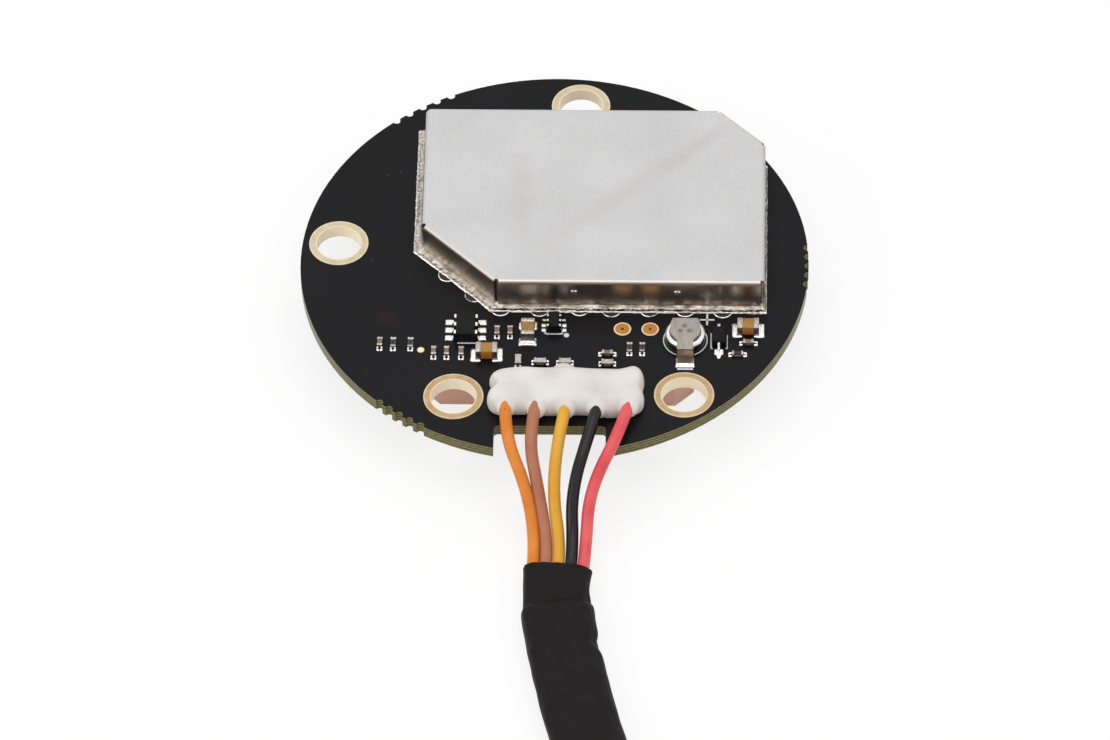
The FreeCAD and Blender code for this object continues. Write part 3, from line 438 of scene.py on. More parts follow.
def tinned_sheet():
    """Matt tin-plated steel sheet: even light grey, with faint smears and a fine roll grain; painted
    highlight and reflection at its bends, painted glints at its dimples.
    """
    material, tree, shader, place = begin_material("tinned_steel_sheet", Metallic=1.0)
    fine = add(
        tree, "TexNoise", {"Vector": place, "Scale": per_mm(0.25), "Detail": 4.0, "Roughness": 0.65}
    )
    cloud = add(tree, "TexNoise", {"Vector": place, "Scale": per_mm(7.0)})
    base = add(tree, "ValToRGB", {"Fac": cloud}, stops=[(0.3, "#c3c2c2"), (0.7, "#cbcaca")])
    speckle = add(tree, "ValToRGB", {"Fac": fine}, stops=[(0.2, "#c6c5c5"), (0.6, "#ffffff")])
    current = add(
        tree,
        "Mix",
        {"Factor": 0.3, "A": base, "B": speckle},
        data_type="RGBA",
        blend_type="MULTIPLY",
    )
    # Wiped smears on the top: each a soft band along a line.
    for middle, way, length, width, depth in SMEARS:
        shifted = add(
            tree, "VectorMath", {0: place, 1: Vector((*middle, 0)) * MM}, operation="SUBTRACT"
        )
        turned = add(
            tree,
            "VectorRotate",
            {"Vector": shifted, "Angle": -math.radians(way)},
            rotation_type="Z_AXIS",
        )
        axes = add(tree, "SeparateXYZ", {"Vector": turned})
        fades = []
        for axis, reach in (("X", length / 2), ("Y", width / 2)):
            gap = add(tree, "Math", {0: axes.outputs[axis]}, operation="ABSOLUTE")
            fades.append(by_distance(tree, gap, [(0.0, 1.0), (reach * 0.3, 1.0), (reach, 0.0)]))
        band = add(tree, "Math", dict(enumerate(fades)), operation="MULTIPLY")
        mottle = add(tree, "TexNoise", {"Vector": place, "Scale": per_mm(1.6), "Detail": 3.0})
        broken = add(tree, "ValToRGB", {"Fac": mottle}, stops=[(0.3, 0.45), (0.7, 1.0)])
        patch = add(tree, "Math", {0: band, 1: broken}, operation="MULTIPLY")
        share = add(tree, "Math", {0: patch, 1: depth}, operation="MULTIPLY")
        current = add(
            tree, "Mix", {"Factor": share, "A": current, "B": "#948e8c"}, data_type="RGBA"
        )
    # Painted highlight and reflection on the walls and bends: a beige highlight where each bend
    # leaves the top, a dark brown reflection below it, then the pale wall; strongest on the front
    # and back walls.
    flat = level_share(tree)
    bend_sheen_stops = [(0.1, "#c3b5a8"), (0.3, "#75675a"), (0.6, "#8a7b6d"), (0.85, "#d5cac2")]
    wall = add(tree, "ValToRGB", {"Fac": flat}, stops=[(0.85, 1.0), (0.985, 0.0)])
    normal = add(tree, "SeparateXYZ", {"Vector": add(tree, "TexCoord").outputs["Normal"]})
    across = add(tree, "Math", {0: normal.outputs["X"]}, operation="ABSOLUTE")
    along = add(tree, "Math", {0: normal.outputs["Y"]}, operation="ABSOLUTE")
    both = add(tree, "Math", {0: across, 1: along}, operation="ADD")
    # The level top has neither, so a little is added before dividing.
    whole = add(tree, "Math", {0: both, 1: 0.001}, operation="ADD")
    turn = add(tree, "Math", {0: along, 1: whole}, operation="DIVIDE")
    facing = add(tree, "ValToRGB", {"Fac": turn}, stops=[(0.15, 0.25), (0.4, 1.0)])
    bend_sheen_share = add(tree, "Math", {0: wall, 1: facing}, operation="MULTIPLY")
    painted_bend_sheen = add(tree, "ValToRGB", {"Fac": flat}, stops=bend_sheen_stops)
    bend_sheen_walled = add(tree, "Mix", {"Factor": bend_sheen_share, "A": current, "B": painted_bend_sheen}, data_type="RGBA")
    # Painted glints: a white dot pair on each snap dimple.
    glint_spots = []
    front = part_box("shield_lid")[0].y + DIMPLE_DEPTH * MM
    for x in DIMPLES:
        for side in (-0.5, 0.5):
            middle = (x + side * DIMPLE_GAP) * MM
            glint_spots.append(Vector((middle, front, DIMPLE_HEIGHT * MM)))
    dimple_glint = by_distance(tree, away_from(tree, place, glint_spots), [(0.0, 1.0), (0.11, 1.0), (0.14, 0.0)])
    skin = add(tree, "Mix", {"Factor": dimple_glint, "A": bend_sheen_walled, "B": "#ffffff"}, data_type="RGBA")
    fill(tree, shader, {"Base Color": skin})
    # The walls were ironed smooth by the press tool, so only the flat top is matt.
    rough = add(tree, "MapRange", {"Value": flat, "To Min": 0.3, "To Max": 0.42})
    fill(tree, shader, {"Roughness": rough})
    waves = add(tree, "TexNoise", {"Vector": place, "Scale": per_mm(3.5)})
    rolled = add(tree, "Bump", {"Height": waves, "Distance": 0.02 * MM})
    rolled = add(tree, "Bump", {"Height": fine, "Distance": 0.0022 * MM, "Normal": rolled})
    # Each painted glint's normal also leans up, so that it catches the light.
    inputs = {"Factor": dimple_glint, "A": rolled, "B": Vector((0.0, -0.4, 0.92))}
    leaning = add(tree, "Mix", inputs, data_type="VECTOR")
    fill(tree, shader, {"Normal": leaning})
    return material


def shaded_frame_sheet():
    """Tin-plated strip of the fence, darkened as painted shade, with light rolling lines."""
    material, tree, shader, place = begin_material(
        "tinned_fence_strip", Metallic=1.0, Roughness=0.5
    )
    drawn = add(tree, "Mapping", {"Vector": place, "Scale": (0.15, 1.0, 1.0)})
    lines = add(tree, "TexNoise", {"Vector": drawn, "Scale": per_mm(0.3), "Detail": 3.0})
    # The strip's dark grey is painted shade, for where the fence shows through the lid's slots and
    # gaps.
    skin = add(tree, "ValToRGB", {"Fac": lines}, stops=[(0.3, "#6c665f"), (0.7, "#8c867e")])
    fill(tree, shader, {"Base Color": skin})
    fill(tree, shader, {"Normal": add(tree, "Bump", {"Height": lines, "Distance": 0.003 * MM})})
    return material


def reflowed_solder():
    """Bright lead-free solder after reflow: near-mirror, with a few shallow dimples."""
    material, tree, shader, place = begin_material("reflowed_solder", Metallic=1.0)
    tone = add(tree, "TexNoise", {"Vector": place, "Scale": per_mm(0.4)})
    colour = add(tree, "ValToRGB", {"Fac": tone}, stops=[(0.3, "#ebe9e6"), (0.7, "#fbfbfb")])
    fill(tree, shader, {"Base Color": colour})
    mottle = add(tree, "TexNoise", {"Vector": place, "Scale": per_mm(0.3)})
    rough = add(tree, "ValToRGB", {"Fac": mottle}, stops=[(0.3, 0.16), (0.7, 0.28)])
    fill(tree, shader, {"Roughness": rough})
    fill(tree, shader, {"Normal": add(tree, "Bump", {"Height": tone, "Distance": 0.012 * MM})})
    return material


def masked_bump():
    """Pads half under the mask: black gloss on the flat, and a broken painted highlight round the
    rim.
    """
    material, tree, shader, place = begin_material("masked_solder_rim", Roughness=0.25)
    mottle = add(tree, "TexNoise", {"Vector": place, "Scale": per_mm(0.9)})
    highlight_breakup = add(tree, "ValToRGB", {"Fac": mottle}, stops=[(0.38, 0.3), (0.48, 1.0)])
    # The rim's bright metal is a painted highlight, broken up by the mottle.
    rim = add(tree, "ValToRGB", {"Fac": level_share(tree)}, stops=[(0.9, 1.0), (0.97, 0.0)])
    bright = add(tree, "Math", {0: rim, 1: highlight_breakup}, operation="MULTIPLY")
    skin = add(tree, "Mix", {"Factor": bright, "A": "#1d1c1d", "B": "#f4f2ee"}, data_type="RGBA")
    fill(tree, shader, {"Base Color": skin})
    fill(tree, shader, {"Metallic": add(tree, "Math", {0: bright, 1: 0.95}, operation="MULTIPLY")})
    return material


def hand_solder():
    """The wide solder land: a smooth fillet by the fence, frosted and pitted at its outer edge, with
    a painted highlight along that edge.
    """
    material, tree, shader, place = begin_material("frosted_solder_land", Metallic=1.0)
    strip = add(tree, "Attribute", attribute_name="strip").outputs["Vector"]
    axes = add(tree, "SeparateXYZ", {"Vector": strip})
    across, loose = axes.outputs["Y"], axes.outputs["Z"]
    # Shrinkage pits lie in a line along the band, each about 0.8 mm long and 0.1 mm wide.
    stretched = add(tree, "Mapping", {"Vector": strip, "Scale": (1.1, 7.0, 0.0)})
    streak = add(tree, "TexNoise", {"Vector": stretched, "Scale": 1.0, "Roughness": 0.6})
    pit = add(tree, "ValToRGB", {"Fac": streak}, stops=[(0.46, 0.0), (0.52, 1.0)])
    mottle = add(tree, "TexNoise", {"Vector": place, "Scale": per_mm(0.9), "Detail": 3.0})
    wander = add(tree, "Math", {0: mottle, 1: 0.2}, operation="MULTIPLY")
    wavering = add(tree, "Math", {0: across, 1: wander}, operation="ADD")
    line = add(
        tree,
        "ValToRGB",
        {"Fac": wavering},
        stops=[(0.18, 0.0), (0.24, 1.0), (0.44, 1.0), (0.54, 0.0)],
    )
    lined = add(tree, "Math", {0: pit, 1: line}, operation="MULTIPLY")
    pitted = add(tree, "Math", {0: lined, 1: loose}, operation="MULTIPLY")
    coarse = add(
        tree, "TexNoise", {"Vector": place, "Scale": per_mm(0.3), "Detail": 4.0, "Roughness": 0.65}
    )
    frost = add(
        tree,
        "ValToRGB",
        {"Fac": coarse},
        stops=[(0.34, "#6f6862"), (0.46, "#b3aaa1"), (0.62, "#efe9e1")],
    )
    slow = add(tree, "TexNoise", {"Vector": place, "Scale": per_mm(0.8), "Detail": 3.0})
    calm = add(
        tree,
        "ValToRGB",
        {"Fac": slow},
        stops=[(0.36, "#7f7872"), (0.5, "#aaa198"), (0.64, "#cfc6bc")],
    )
    inner = add(tree, "ValToRGB", {"Fac": across}, stops=[(0.3, 0.0), (0.6, 1.0)])
    metal = add(tree, "Mix", {"Factor": inner, "A": frost, "B": calm}, data_type="RGBA")
    # A painted highlight along the land's outer edge.
    edge_highlight = add(tree, "ValToRGB", {"Fac": across}, stops=[(0.05, 1.0), (0.13, 0.0)])
    share = add(tree, "Math", {0: edge_highlight, 1: 0.6}, operation="MULTIPLY")
    edge_highlit = add(tree, "Mix", {"Factor": share, "A": metal, "B": "#f6f1e8"}, data_type="RGBA")
    skin = add(tree, "Mix", {"Factor": pitted, "A": edge_highlit, "B": "#2b2621"}, data_type="RGBA")
    fill(tree, shader, {"Base Color": skin})
    rough = add(tree, "ValToRGB", {"Fac": coarse}, stops=[(0.3, 0.42), (0.6, 0.28)])
    fill(tree, shader, {"Roughness": rough})
    whole = add(tree, "Math", {0: 1.0, 1: pitted}, operation="SUBTRACT")
    pressed = add(tree, "Bump", {"Height": whole, "Distance": 0.04 * MM})
    relief = add(tree, "Bump", {"Height": coarse, "Distance": 0.02 * MM, "Normal": pressed})
    fill(tree, shader, {"Normal": relief})
    return material


def tinned_end():
    """Tin-plated end caps of chip parts: grey, barrel-plated and slightly mottled, with painted
    shade on their sides.
    """
    material, tree, shader, place = begin_material("barrel_plated_tin", Metallic=0.9)
    tone = add(
        tree, "TexNoise", {"Vector": place, "Scale": per_mm(0.2), "Detail": 4.0, "Roughness": 0.7}
    )
    top = add(
        tree,
        "ValToRGB",
        {"Fac": tone},
        stops=[(0.32, "#8f877f"), (0.52, "#b9b1a8"), (0.72, "#ece8e2")],
    )
    side = add(
        tree,
        "ValToRGB",
        {"Fac": tone},
        stops=[(0.35, "#6b5c50"), (0.6, "#94857a"), (0.75, "#cfc6bd")],
    )
    # Sideways faces are darker and browner: painted shade.
    flat = add(tree, "ValToRGB", {"Fac": level_share(tree)}, stops=[(0.3, 0.0), (0.7, 1.0)])
    skin = add(tree, "Mix", {"Factor": flat, "A": side, "B": top}, data_type="RGBA")
    fill(tree, shader, {"Base Color": skin})
    rough = add(tree, "ValToRGB", {"Fac": tone}, stops=[(0.3, 0.5), (0.7, 0.3)])
    fill(tree, shader, {"Roughness": rough})
    fill(tree, shader, {"Normal": add(tree, "Bump", {"Height": tone, "Distance": 0.012 * MM})})
    return material


def trimmed_lead():
    """Tinned copper legs: painted highlight on their level parts, painted golden-brown reflection
    down their slope.
    """
    material, tree, shader, place = begin_material("tinned_copper_leg", Metallic=1.0)
    # Level faces take a near-white painted highlight; sloped faces a brown painted reflection.
    flat = add(tree, "ValToRGB", {"Fac": level_share(tree)}, stops=[(0.75, 0.0), (0.9, 1.0)])
    mottle = add(tree, "TexNoise", {"Vector": place, "Scale": per_mm(0.15), "Detail": 3.0})
    tone = add(tree, "ValToRGB", {"Fac": mottle}, stops=[(0.3, "#7a5a3a"), (0.7, "#a3825c")])
    skin = add(tree, "Mix", {"Factor": flat, "A": tone, "B": "#f4f0e8"}, data_type="RGBA")
    fill(tree, shader, {"Base Color": skin, "Roughness": 0.3})
    grit = add(tree, "TexNoise", {"Vector": place, "Scale": per_mm(0.15)})
    fill(tree, shader, {"Normal": add(tree, "Bump", {"Height": grit, "Distance": 0.006 * MM})})
    return material


def fired_ceramic(name, dark, light, size, roughness, side=None):
    """A fired ceramic: matt, of fine pores, with a side colour where its layers show."""
    material, tree, shader, place = begin_material(name, Roughness=roughness)
    tone = add(tree, "TexNoise", {"Vector": place, "Scale": per_mm(size), "Detail": 3.0})
    colour = add(tree, "ValToRGB", {"Fac": tone}, stops=[(0.3, dark), (0.7, light)])
    if side:
        flat = add(tree, "ValToRGB", {"Fac": level_share(tree)}, stops=[(0.3, 0.0), (0.7, 1.0)])
        colour = add(tree, "Mix", {"Factor": flat, "A": side, "B": colour}, data_type="RGBA")
    fill(tree, shader, {"Base Color": colour})
    grit = add(tree, "TexNoise", {"Vector": place, "Scale": per_mm(0.08)})
    fill(tree, shader, {"Normal": add(tree, "Bump", {"Height": grit, "Distance": 0.004 * MM})})
    return material


def moulding_compound():
    """Black epoxy moulding compound: matt, with sand-like filler."""
    material, tree, shader, place = begin_material("epoxy_moulding_compound", Roughness=0.5)
    fill(tree, shader, {"Specular IOR Level": 0.15})
    filler = add(tree, "TexNoise", {"Vector": place, "Scale": per_mm(0.09), "Detail": 3.0})
    skin = add(tree, "ValToRGB", {"Fac": filler}, stops=[(0.3, "#0b0a0b"), (0.7, "#161515")])
    fill(tree, shader, {"Base Color": skin})
    fill(tree, shader, {"Normal": add(tree, "Bump", {"Height": filler, "Distance": 0.006 * MM})})
    return material


def resistor_glaze():
    """The black lacquer over a chip resistor's film: smooth and slightly glossy."""
    material, tree, shader, place = begin_material("resistor_lacquer", Roughness=0.32)
    tone = add(tree, "TexNoise", {"Vector": place, "Scale": per_mm(0.2)})
    skin = add(tree, "ValToRGB", {"Fac": tone}, stops=[(0.3, "#0d0d0e"), (0.7, "#1a1a1b")])
    fill(tree, shader, {"Base Color": skin})
    return material


def cell_steel():
    """Drawn stainless sheet of the cell and its straps: satin, with fine draw marks."""
    material, tree, shader, place = begin_material("drawn_stainless_sheet", Metallic=1.0)
    drawn = add(tree, "Mapping", {"Vector": place, "Scale": (1.0, 0.2, 1.0)})
    marks = add(tree, "TexNoise", {"Vector": drawn, "Scale": per_mm(0.3), "Detail": 4.0})
    skin = add(tree, "ValToRGB", {"Fac": marks}, stops=[(0.3, "#9d958d"), (0.7, "#b3aba2")])
    fill(tree, shader, {"Base Color": skin})
    rough = add(tree, "ValToRGB", {"Fac": marks}, stops=[(0.3, 0.3), (0.7, 0.4)])
    fill(tree, shader, {"Roughness": rough})
    fill(tree, shader, {"Normal": add(tree, "Bump", {"Height": marks, "Distance": 0.004 * MM})})
    return material


def welded_strap():
    """The cell's strap: satin stainless with three tempered weld scars, and a painted brown
    reflection on its leg.
    """
    material, tree, shader, place = begin_material("welded_stainless_strap", Metallic=1.0)
    low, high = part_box("backup_cell_can")
    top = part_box("backup_cell_top_strap")[1].z
    middle = (low + high) / 2
    scars = [Vector((middle.x + x * MM, middle.y + y * MM, top)) for x, y in WELD_SPOTS]
    drawn = add(tree, "Mapping", {"Vector": place, "Scale": (1.0, 0.2, 1.0)})
    marks = add(tree, "TexNoise", {"Vector": drawn, "Scale": per_mm(0.3), "Detail": 4.0})
    sheet = add(tree, "ValToRGB", {"Fac": marks}, stops=[(0.3, "#978f88"), (0.7, "#aba49c")])
    warped = add(tree, "TexNoise", {"Vector": place, "Scale": per_mm(0.25)})
    ragged = add(tree, "Math", {0: warped, 1: 0.1 * MM}, operation="MULTIPLY")
    gap = add(tree, "Math", {0: away_from(tree, place, scars), 1: ragged}, operation="ADD")
    scar = by_distance(tree, gap, [(0.0, 1.0), (0.2, 0.9), (0.38, 0.0)])
    share = add(tree, "Math", {0: scar, 1: 0.8}, operation="MULTIPLY")
    welded = add(tree, "Mix", {"Factor": share, "A": sheet, "B": "#6d6058"}, data_type="RGBA")
    # The leg's sideways faces carry a painted brown reflection, in level bands.
    drawn = add(tree, "Mapping", {"Vector": place, "Scale": (0.25, 1.0, 1.6)})
    bands = add(tree, "TexNoise", {"Vector": drawn, "Scale": per_mm(0.5), "Detail": 3.0})
    painted_leg_reflection = add(
        tree,
        "ValToRGB",
        {"Fac": bands},
        stops=[(0.3, "#6a5a49"), (0.5, "#8f7d6a"), (0.7, "#c9b5a0")],
    )
    flat = add(tree, "ValToRGB", {"Fac": level_share(tree)}, stops=[(0.4, 1.0), (0.8, 0.0)])
    skin = add(tree, "Mix", {"Factor": flat, "A": welded, "B": painted_leg_reflection}, data_type="RGBA")
    fill(tree, shader, {"Base Color": skin})
    rough = add(tree, "ValToRGB", {"Fac": marks}, stops=[(0.3, 0.3), (0.7, 0.4)])
    fill(tree, shader, {"Roughness": rough})
    fill(tree, shader, {"Normal": add(tree, "Bump", {"Height": marks, "Distance": 0.004 * MM})})
    return material


def polished_rim():
    """The cell can's rolled rim: polished steel brightened as painted highlight, darker towards its
    foot.
    """
    material, tree, shader, place = begin_material("die_polished_steel", Metallic=1.0)
    mottle = add(tree, "TexNoise", {"Vector": place, "Scale": per_mm(0.8)})
    tone = add(tree, "ValToRGB", {"Fac": mottle}, stops=[(0.3, "#dcd9d2"), (0.7, "#f3f1ea")])
    low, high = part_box("backup_cell_can")
    reach = (high.z - low.z) / 3
    height = add(tree, "SeparateXYZ", {"Vector": place}).outputs["Z"]
    rise = {"From Min": low.z + reach, "From Max": low.z + 2 * reach}
    share = add(tree, "MapRange", {"Value": height, **rise})
    # The tone runs from dark at the foot to pale over the rim; the pale is painted highlight.
    skin = add(tree, "Mix", {"Factor": share, "A": "#3d3732", "B": tone}, data_type="RGBA")
    fill(tree, shader, {"Base Color": skin, "Roughness": 0.2})
    return material


def nylon_gasket():
    """Nylon sealing ring between the cell's two halves, darkened as painted shadow between them."""
    material, tree, shader, place = begin_material("nylon_gasket", Roughness=0.45)
    tone = add(tree, "TexNoise", {"Vector": place, "Scale": per_mm(0.4)})
    # The dark grey is painted shadow in the gap between can and cap.
    skin = add(tree, "ValToRGB", {"Fac": tone}, stops=[(0.3, "#4f4943"), (0.7, "#6a635b")])
    fill(tree, shader, {"Base Color": skin})
    return material


def white_silicone():
    """Neutral-cure white silicone: soft sheen, light bleeding through, a skin that has crept."""
    material, tree, shader, place = begin_material("neutral_cure_silicone", Roughness=0.42)
    fill(tree, shader, {"Subsurface Weight": 0.3, "Subsurface Radius": (1.0, 0.85, 0.7)})
    fill(tree, shader, {"Subsurface Scale": 0.4 * MM, "Specular IOR Level": 0.35})
    cloud = add(tree, "TexNoise", {"Vector": place, "Scale": per_mm(2.4), "Detail": 3.0})
    base = add(
        tree,
        "ValToRGB",
        {"Fac": cloud},
        stops=[(0.25, "#d7d1ca"), (0.5, "#e2ddd8"), (0.75, "#e9e6e2")],
    )
    # Trapped grit: dark flecks under 0.1 mm, a millimetre or more apart.
    speck = add(tree, "TexVoronoi", {"Vector": place, "Scale": per_mm(1.5), "Randomness": 1.0})
    fleck = add(
        tree, "ValToRGB", {"Fac": speck.outputs["Distance"]}, stops=[(0.03, 0.8), (0.065, 0.0)]
    )
    mottle = add(tree, "TexNoise", {"Vector": place, "Scale": per_mm(1.9)})
    some = add(tree, "ValToRGB", {"Fac": mottle}, stops=[(0.52, 0.0), (0.58, 1.0)])
    share = add(tree, "Math", {0: fleck, 1: some}, operation="MULTIPLY")
    gritty = add(tree, "Mix", {"Factor": share, "A": base, "B": "#6f6259"}, data_type="RGBA")
    fill(tree, shader, {"Base Color": gritty})
    swell = add(tree, "TexNoise", {"Vector": place, "Scale": per_mm(1.2)})
    creep = add(tree, "Bump", {"Height": swell, "Distance": 0.04 * MM})
    grit = add(tree, "TexNoise", {"Vector": place, "Scale": per_mm(0.2)})
    relief = add(tree, "Bump", {"Height": grit, "Distance": 0.004 * MM, "Normal": creep})
    fill(tree, shader, {"Normal": relief})
    return material


def wire_insulation(name, dark, light, roughness=0.34, scorch=None):
    """Extruded silicone-rubber insulation: satin, drifting in colour, one spot maybe scorched."""
    material, tree, shader, place = begin_material(name, Roughness=roughness)
    fill(tree, shader, {"Specular IOR Level": 0.3})
    drift = add(tree, "TexNoise", {"Vector": place, "Scale": per_mm(2.2), "Detail": 3.0})
    colour = add(tree, "ValToRGB", {"Fac": drift}, stops=[(0.25, dark), (0.75, light)])
    if scorch:
        gap = away_from(tree, place, [Vector(scorch) * MM])
        mottle = add(tree, "TexNoise", {"Vector": place, "Scale": per_mm(0.3), "Detail": 3.0})
        ragged = add(tree, "Math", {0: mottle, 1: 0.3 * MM}, operation="MULTIPLY")
        reach = add(tree, "Math", {0: gap, 1: ragged}, operation="ADD")
        spot = by_distance(tree, reach, [(0.0, 0.8), (0.22, 0.7), (0.4, 0.0)])
        colour = add(tree, "Mix", {"Factor": spot, "A": colour, "B": "#5a3010"}, data_type="RGBA")
    fill(tree, shader, {"Base Color": colour})
    grit = add(tree, "TexNoise", {"Vector": place, "Scale": per_mm(0.3), "Detail": 3.0})
    fill(tree, shader, {"Normal": add(tree, "Bump", {"Height": grit, "Distance": 0.012 * MM})})
    return material


def shrunk_sleeve():
    """Black polyolefin shrunk by heat: matt, faintly scuffed, puckered across its length."""
    material, tree, shader, place = begin_material("shrunk_polyolefin", Roughness=0.5)
    fill(tree, shader, {"Specular IOR Level": 0.12})
    scuff = add(
        tree, "TexNoise", {"Vector": place, "Scale": per_mm(1.1), "Detail": 5.0, "Roughness": 0.65}
    )
    skin = add(
        tree,
        "ValToRGB",
        {"Fac": scuff},
        stops=[(0.3, "#110e0e"), (0.6, "#171414"), (0.85, "#262222")],
    )
    fill(tree, shader, {"Base Color": skin})
    drawn = add(tree, "Mapping", {"Vector": place, "Scale": (0.35, 1.0, 1.0)})
    folds = add(tree, "TexNoise", {"Vector": drawn, "Scale": per_mm(1.4)})
    pucker = add(tree, "Bump", {"Height": folds, "Distance": 0.06 * MM})
    grit = add(tree, "TexNoise", {"Vector": place, "Scale": per_mm(0.12)})
    relief = add(tree, "Bump", {"Height": grit, "Distance": 0.008 * MM, "Normal": pucker})
    fill(tree, shader, {"Normal": relief})
    return material


def nylon_housing():
    """Natural moulded nylon of the plug: milky, satin, a little light inside."""
    material, tree, shader, place = begin_material("natural_nylon", Roughness=0.4)
    fill(tree, shader, {"Subsurface Weight": 0.15, "Subsurface Scale": 0.5 * MM})
    tone = add(tree, "TexNoise", {"Vector": place, "Scale": per_mm(2.5)})
    skin = add(tree, "ValToRGB", {"Fac": tone}, stops=[(0.3, "#e2dfd4"), (0.7, "#ece9e0")])
    fill(tree, shader, {"Base Color": skin})
    grit = add(tree, "TexNoise", {"Vector": place, "Scale": per_mm(0.15)})
    fill(tree, shader, {"Normal": add(tree, "Bump", {"Height": grit, "Distance": 0.004 * MM})})
    return material


def stamped_contact():
    """Tin-plated phosphor bronze of the plug's contacts."""
    material, tree, shader, place = begin_material("tinned_bronze", Metallic=1.0, Roughness=0.3)
    tone = add(tree, "TexNoise", {"Vector": place, "Scale": per_mm(0.3)})
    skin = add(tree, "ValToRGB", {"Fac": tone}, stops=[(0.3, "#c9bfa8"), (0.7, "#dfd8c6")])
    fill(tree, shader, {"Base Color": skin})
    return material


def silver_paste():
    """Silver paste screened and fired on the antenna: matt warm grey with a mesh-like grain."""
    material, tree, shader, place = begin_material("fired_silver_paste", Metallic=0.9)
    mesh = add(
        tree, "TexNoise", {"Vector": place, "Scale": per_mm(0.15), "Detail": 3.0, "Roughness": 0.7}
    )
    cloud = add(tree, "TexNoise", {"Vector": place, "Scale": per_mm(5.0)})
    tone = add(tree, "Math", {0: mesh, 1: cloud}, operation="MULTIPLY")
    skin = add(tree, "ValToRGB", {"Fac": tone}, stops=[(0.1, "#bdb6ac"), (0.4, "#d9d4cb")])
    fill(tree, shader, {"Base Color": skin, "Roughness": 0.5})
    fill(tree, shader, {"Normal": add(tree, "Bump", {"Height": mesh, "Distance": 0.008 * MM})})
    return material


def foam_tape():
    """White double-sided acrylic foam between antenna and board."""
    material, tree, shader, place = begin_material("acrylic_foam_tape", Roughness=0.8)
    cells = add(tree, "TexNoise", {"Vector": place, "Scale": per_mm(0.12)})
    skin = add(tree, "ValToRGB", {"Fac": cells}, stops=[(0.3, "#d8d6cf"), (0.7, "#efeee9")])
    fill(tree, shader, {"Base Color": skin})
    fill(tree, shader, {"Normal": add(tree, "Bump", {"Height": cells, "Distance": 0.02 * MM})})
    return material


def tinned_strands():
    """Tinned copper strands of a stripped wire end."""
    material, tree, shader, place = begin_material("tinned_copper", Metallic=1.0, Roughness=0.35)
    drawn = add(tree, "Mapping", {"Vector": place, "Scale": (1.0, 0.3, 1.0)})
    twist = add(tree, "TexNoise", {"Vector": drawn, "Scale": per_mm(0.1)})
    skin = add(tree, "ValToRGB", {"Fac": twist}, stops=[(0.3, "#b98a6a"), (0.7, "#d8c7ba")])
    fill(tree, shader, {"Base Color": skin})
    fill(tree, shader, {"Normal": add(tree, "Bump", {"Height": twist, "Distance": 0.02 * MM})})
    return material


def silkscreen_ink():
    """White epoxy legend ink, a few hundredths thick, slightly broken at its edges."""
    material, tree, shader, place = begin_material("legend_ink", Roughness=0.55)
    tone = add(tree, "TexNoise", {"Vector": place, "Scale": per_mm(0.12), "Detail": 3.0})
    skin = add(tree, "ValToRGB", {"Fac": tone}, stops=[(0.3, "#c9ccd0"), (0.7, "#f2f3f4")])
    fill(tree, shader, {"Base Color": skin})
    return material


def unlit_share(tree):
    """1 where a surface is seen, straight or in a mirror or through glass; 0 where it lights."""
    path = add(tree, "LightPath")
    seen = add(
        tree,
        "Math",
        {0: path.outputs["Is Camera Ray"], 1: path.outputs["Is Glossy Ray"]},
        operation="MAXIMUM",
    )
    return add(tree, "Math", {0: seen, 1: path.outputs["Is Transmission Ray"]}, operation="MAXIMUM")


def studio_floor():
    """A matt white sweep that keeps the soft shadow and otherwise reads as plain white."""
    material, tree, shader, place = begin_material("white_sweep", Roughness=0.9)
    tone = add(tree, "TexNoise", {"Vector": place, "Scale": per_mm(80.0)})
    skin = add(tree, "ValToRGB", {"Fac": tone}, stops=[(0.3, "#fdfdfd"), (0.7, "#ffffff")])
    fill(tree, shader, {"Base Color": skin})
    glow = add(tree, "Emission", {"Color": "#ffffff", "Strength": 1.0})
    share = add(tree, "Math", {0: unlit_share(tree), 1: 0.8}, operation="MULTIPLY")
    both = add(tree, "MixShader", {0: share, 1: shader, 2: glow})
    output = next(node for node in tree.nodes if node.type == "OUTPUT_MATERIAL")
    fill(tree, output, {"Surface": both})
    return material


# ---- meshes ---------------------------------------------------------------------------------
def new_object(name, mesh):
    """Puts a new object with that data into the scene."""
    made = bpy.data.objects.new(name, mesh)
    bpy.context.scene.collection.objects.link(made)
    return made


def mesh_piece(name, vertices, faces, crease=40):
    """A mesh object with smooth faces and edges sharp past an angle."""
    mesh = bpy.data.meshes.new(name)
    mesh.from_pydata([tuple(v) for v in vertices], [], faces)
    mesh.validate()
    made = new_object(name, mesh)
    smooth(made, crease)
    return made


def smooth(made, crease=40):
    """Shades a mesh smooth, with its edges sharp past an angle."""
    made.data.shade_smooth()
    made.data.set_sharp_from_angle(angle=math.radians(crease))


def from_bmesh(name, bm, crease=40):
    """A smooth mesh object from a worked mesh, its faces turned outwards."""
    bmesh.ops.recalc_face_normals(bm, faces=bm.faces)
    mesh = bpy.data.meshes.new(name)
    bm.to_mesh(mesh)
    bm.free()
    made = new_object(name, mesh)
    smooth(made, crease)
    return made


def set_strip(mesh, values):
    """Stores each point's place on the band: along it, across it, and how grainy it is there."""
    stored = mesh.attributes.new("strip", "FLOAT_VECTOR", "POINT")
    for number, value in enumerate(values):
        stored.data[number].vector = value


def face_out(made, crease):
    """Turns a closed mesh's faces outwards."""
    bm = bmesh.new()
    bm.from_mesh(made.data)
    bmesh.ops.recalc_face_normals(bm, faces=bm.faces)
    bm.to_mesh(made.data)
    bm.free()
    smooth(made, crease)


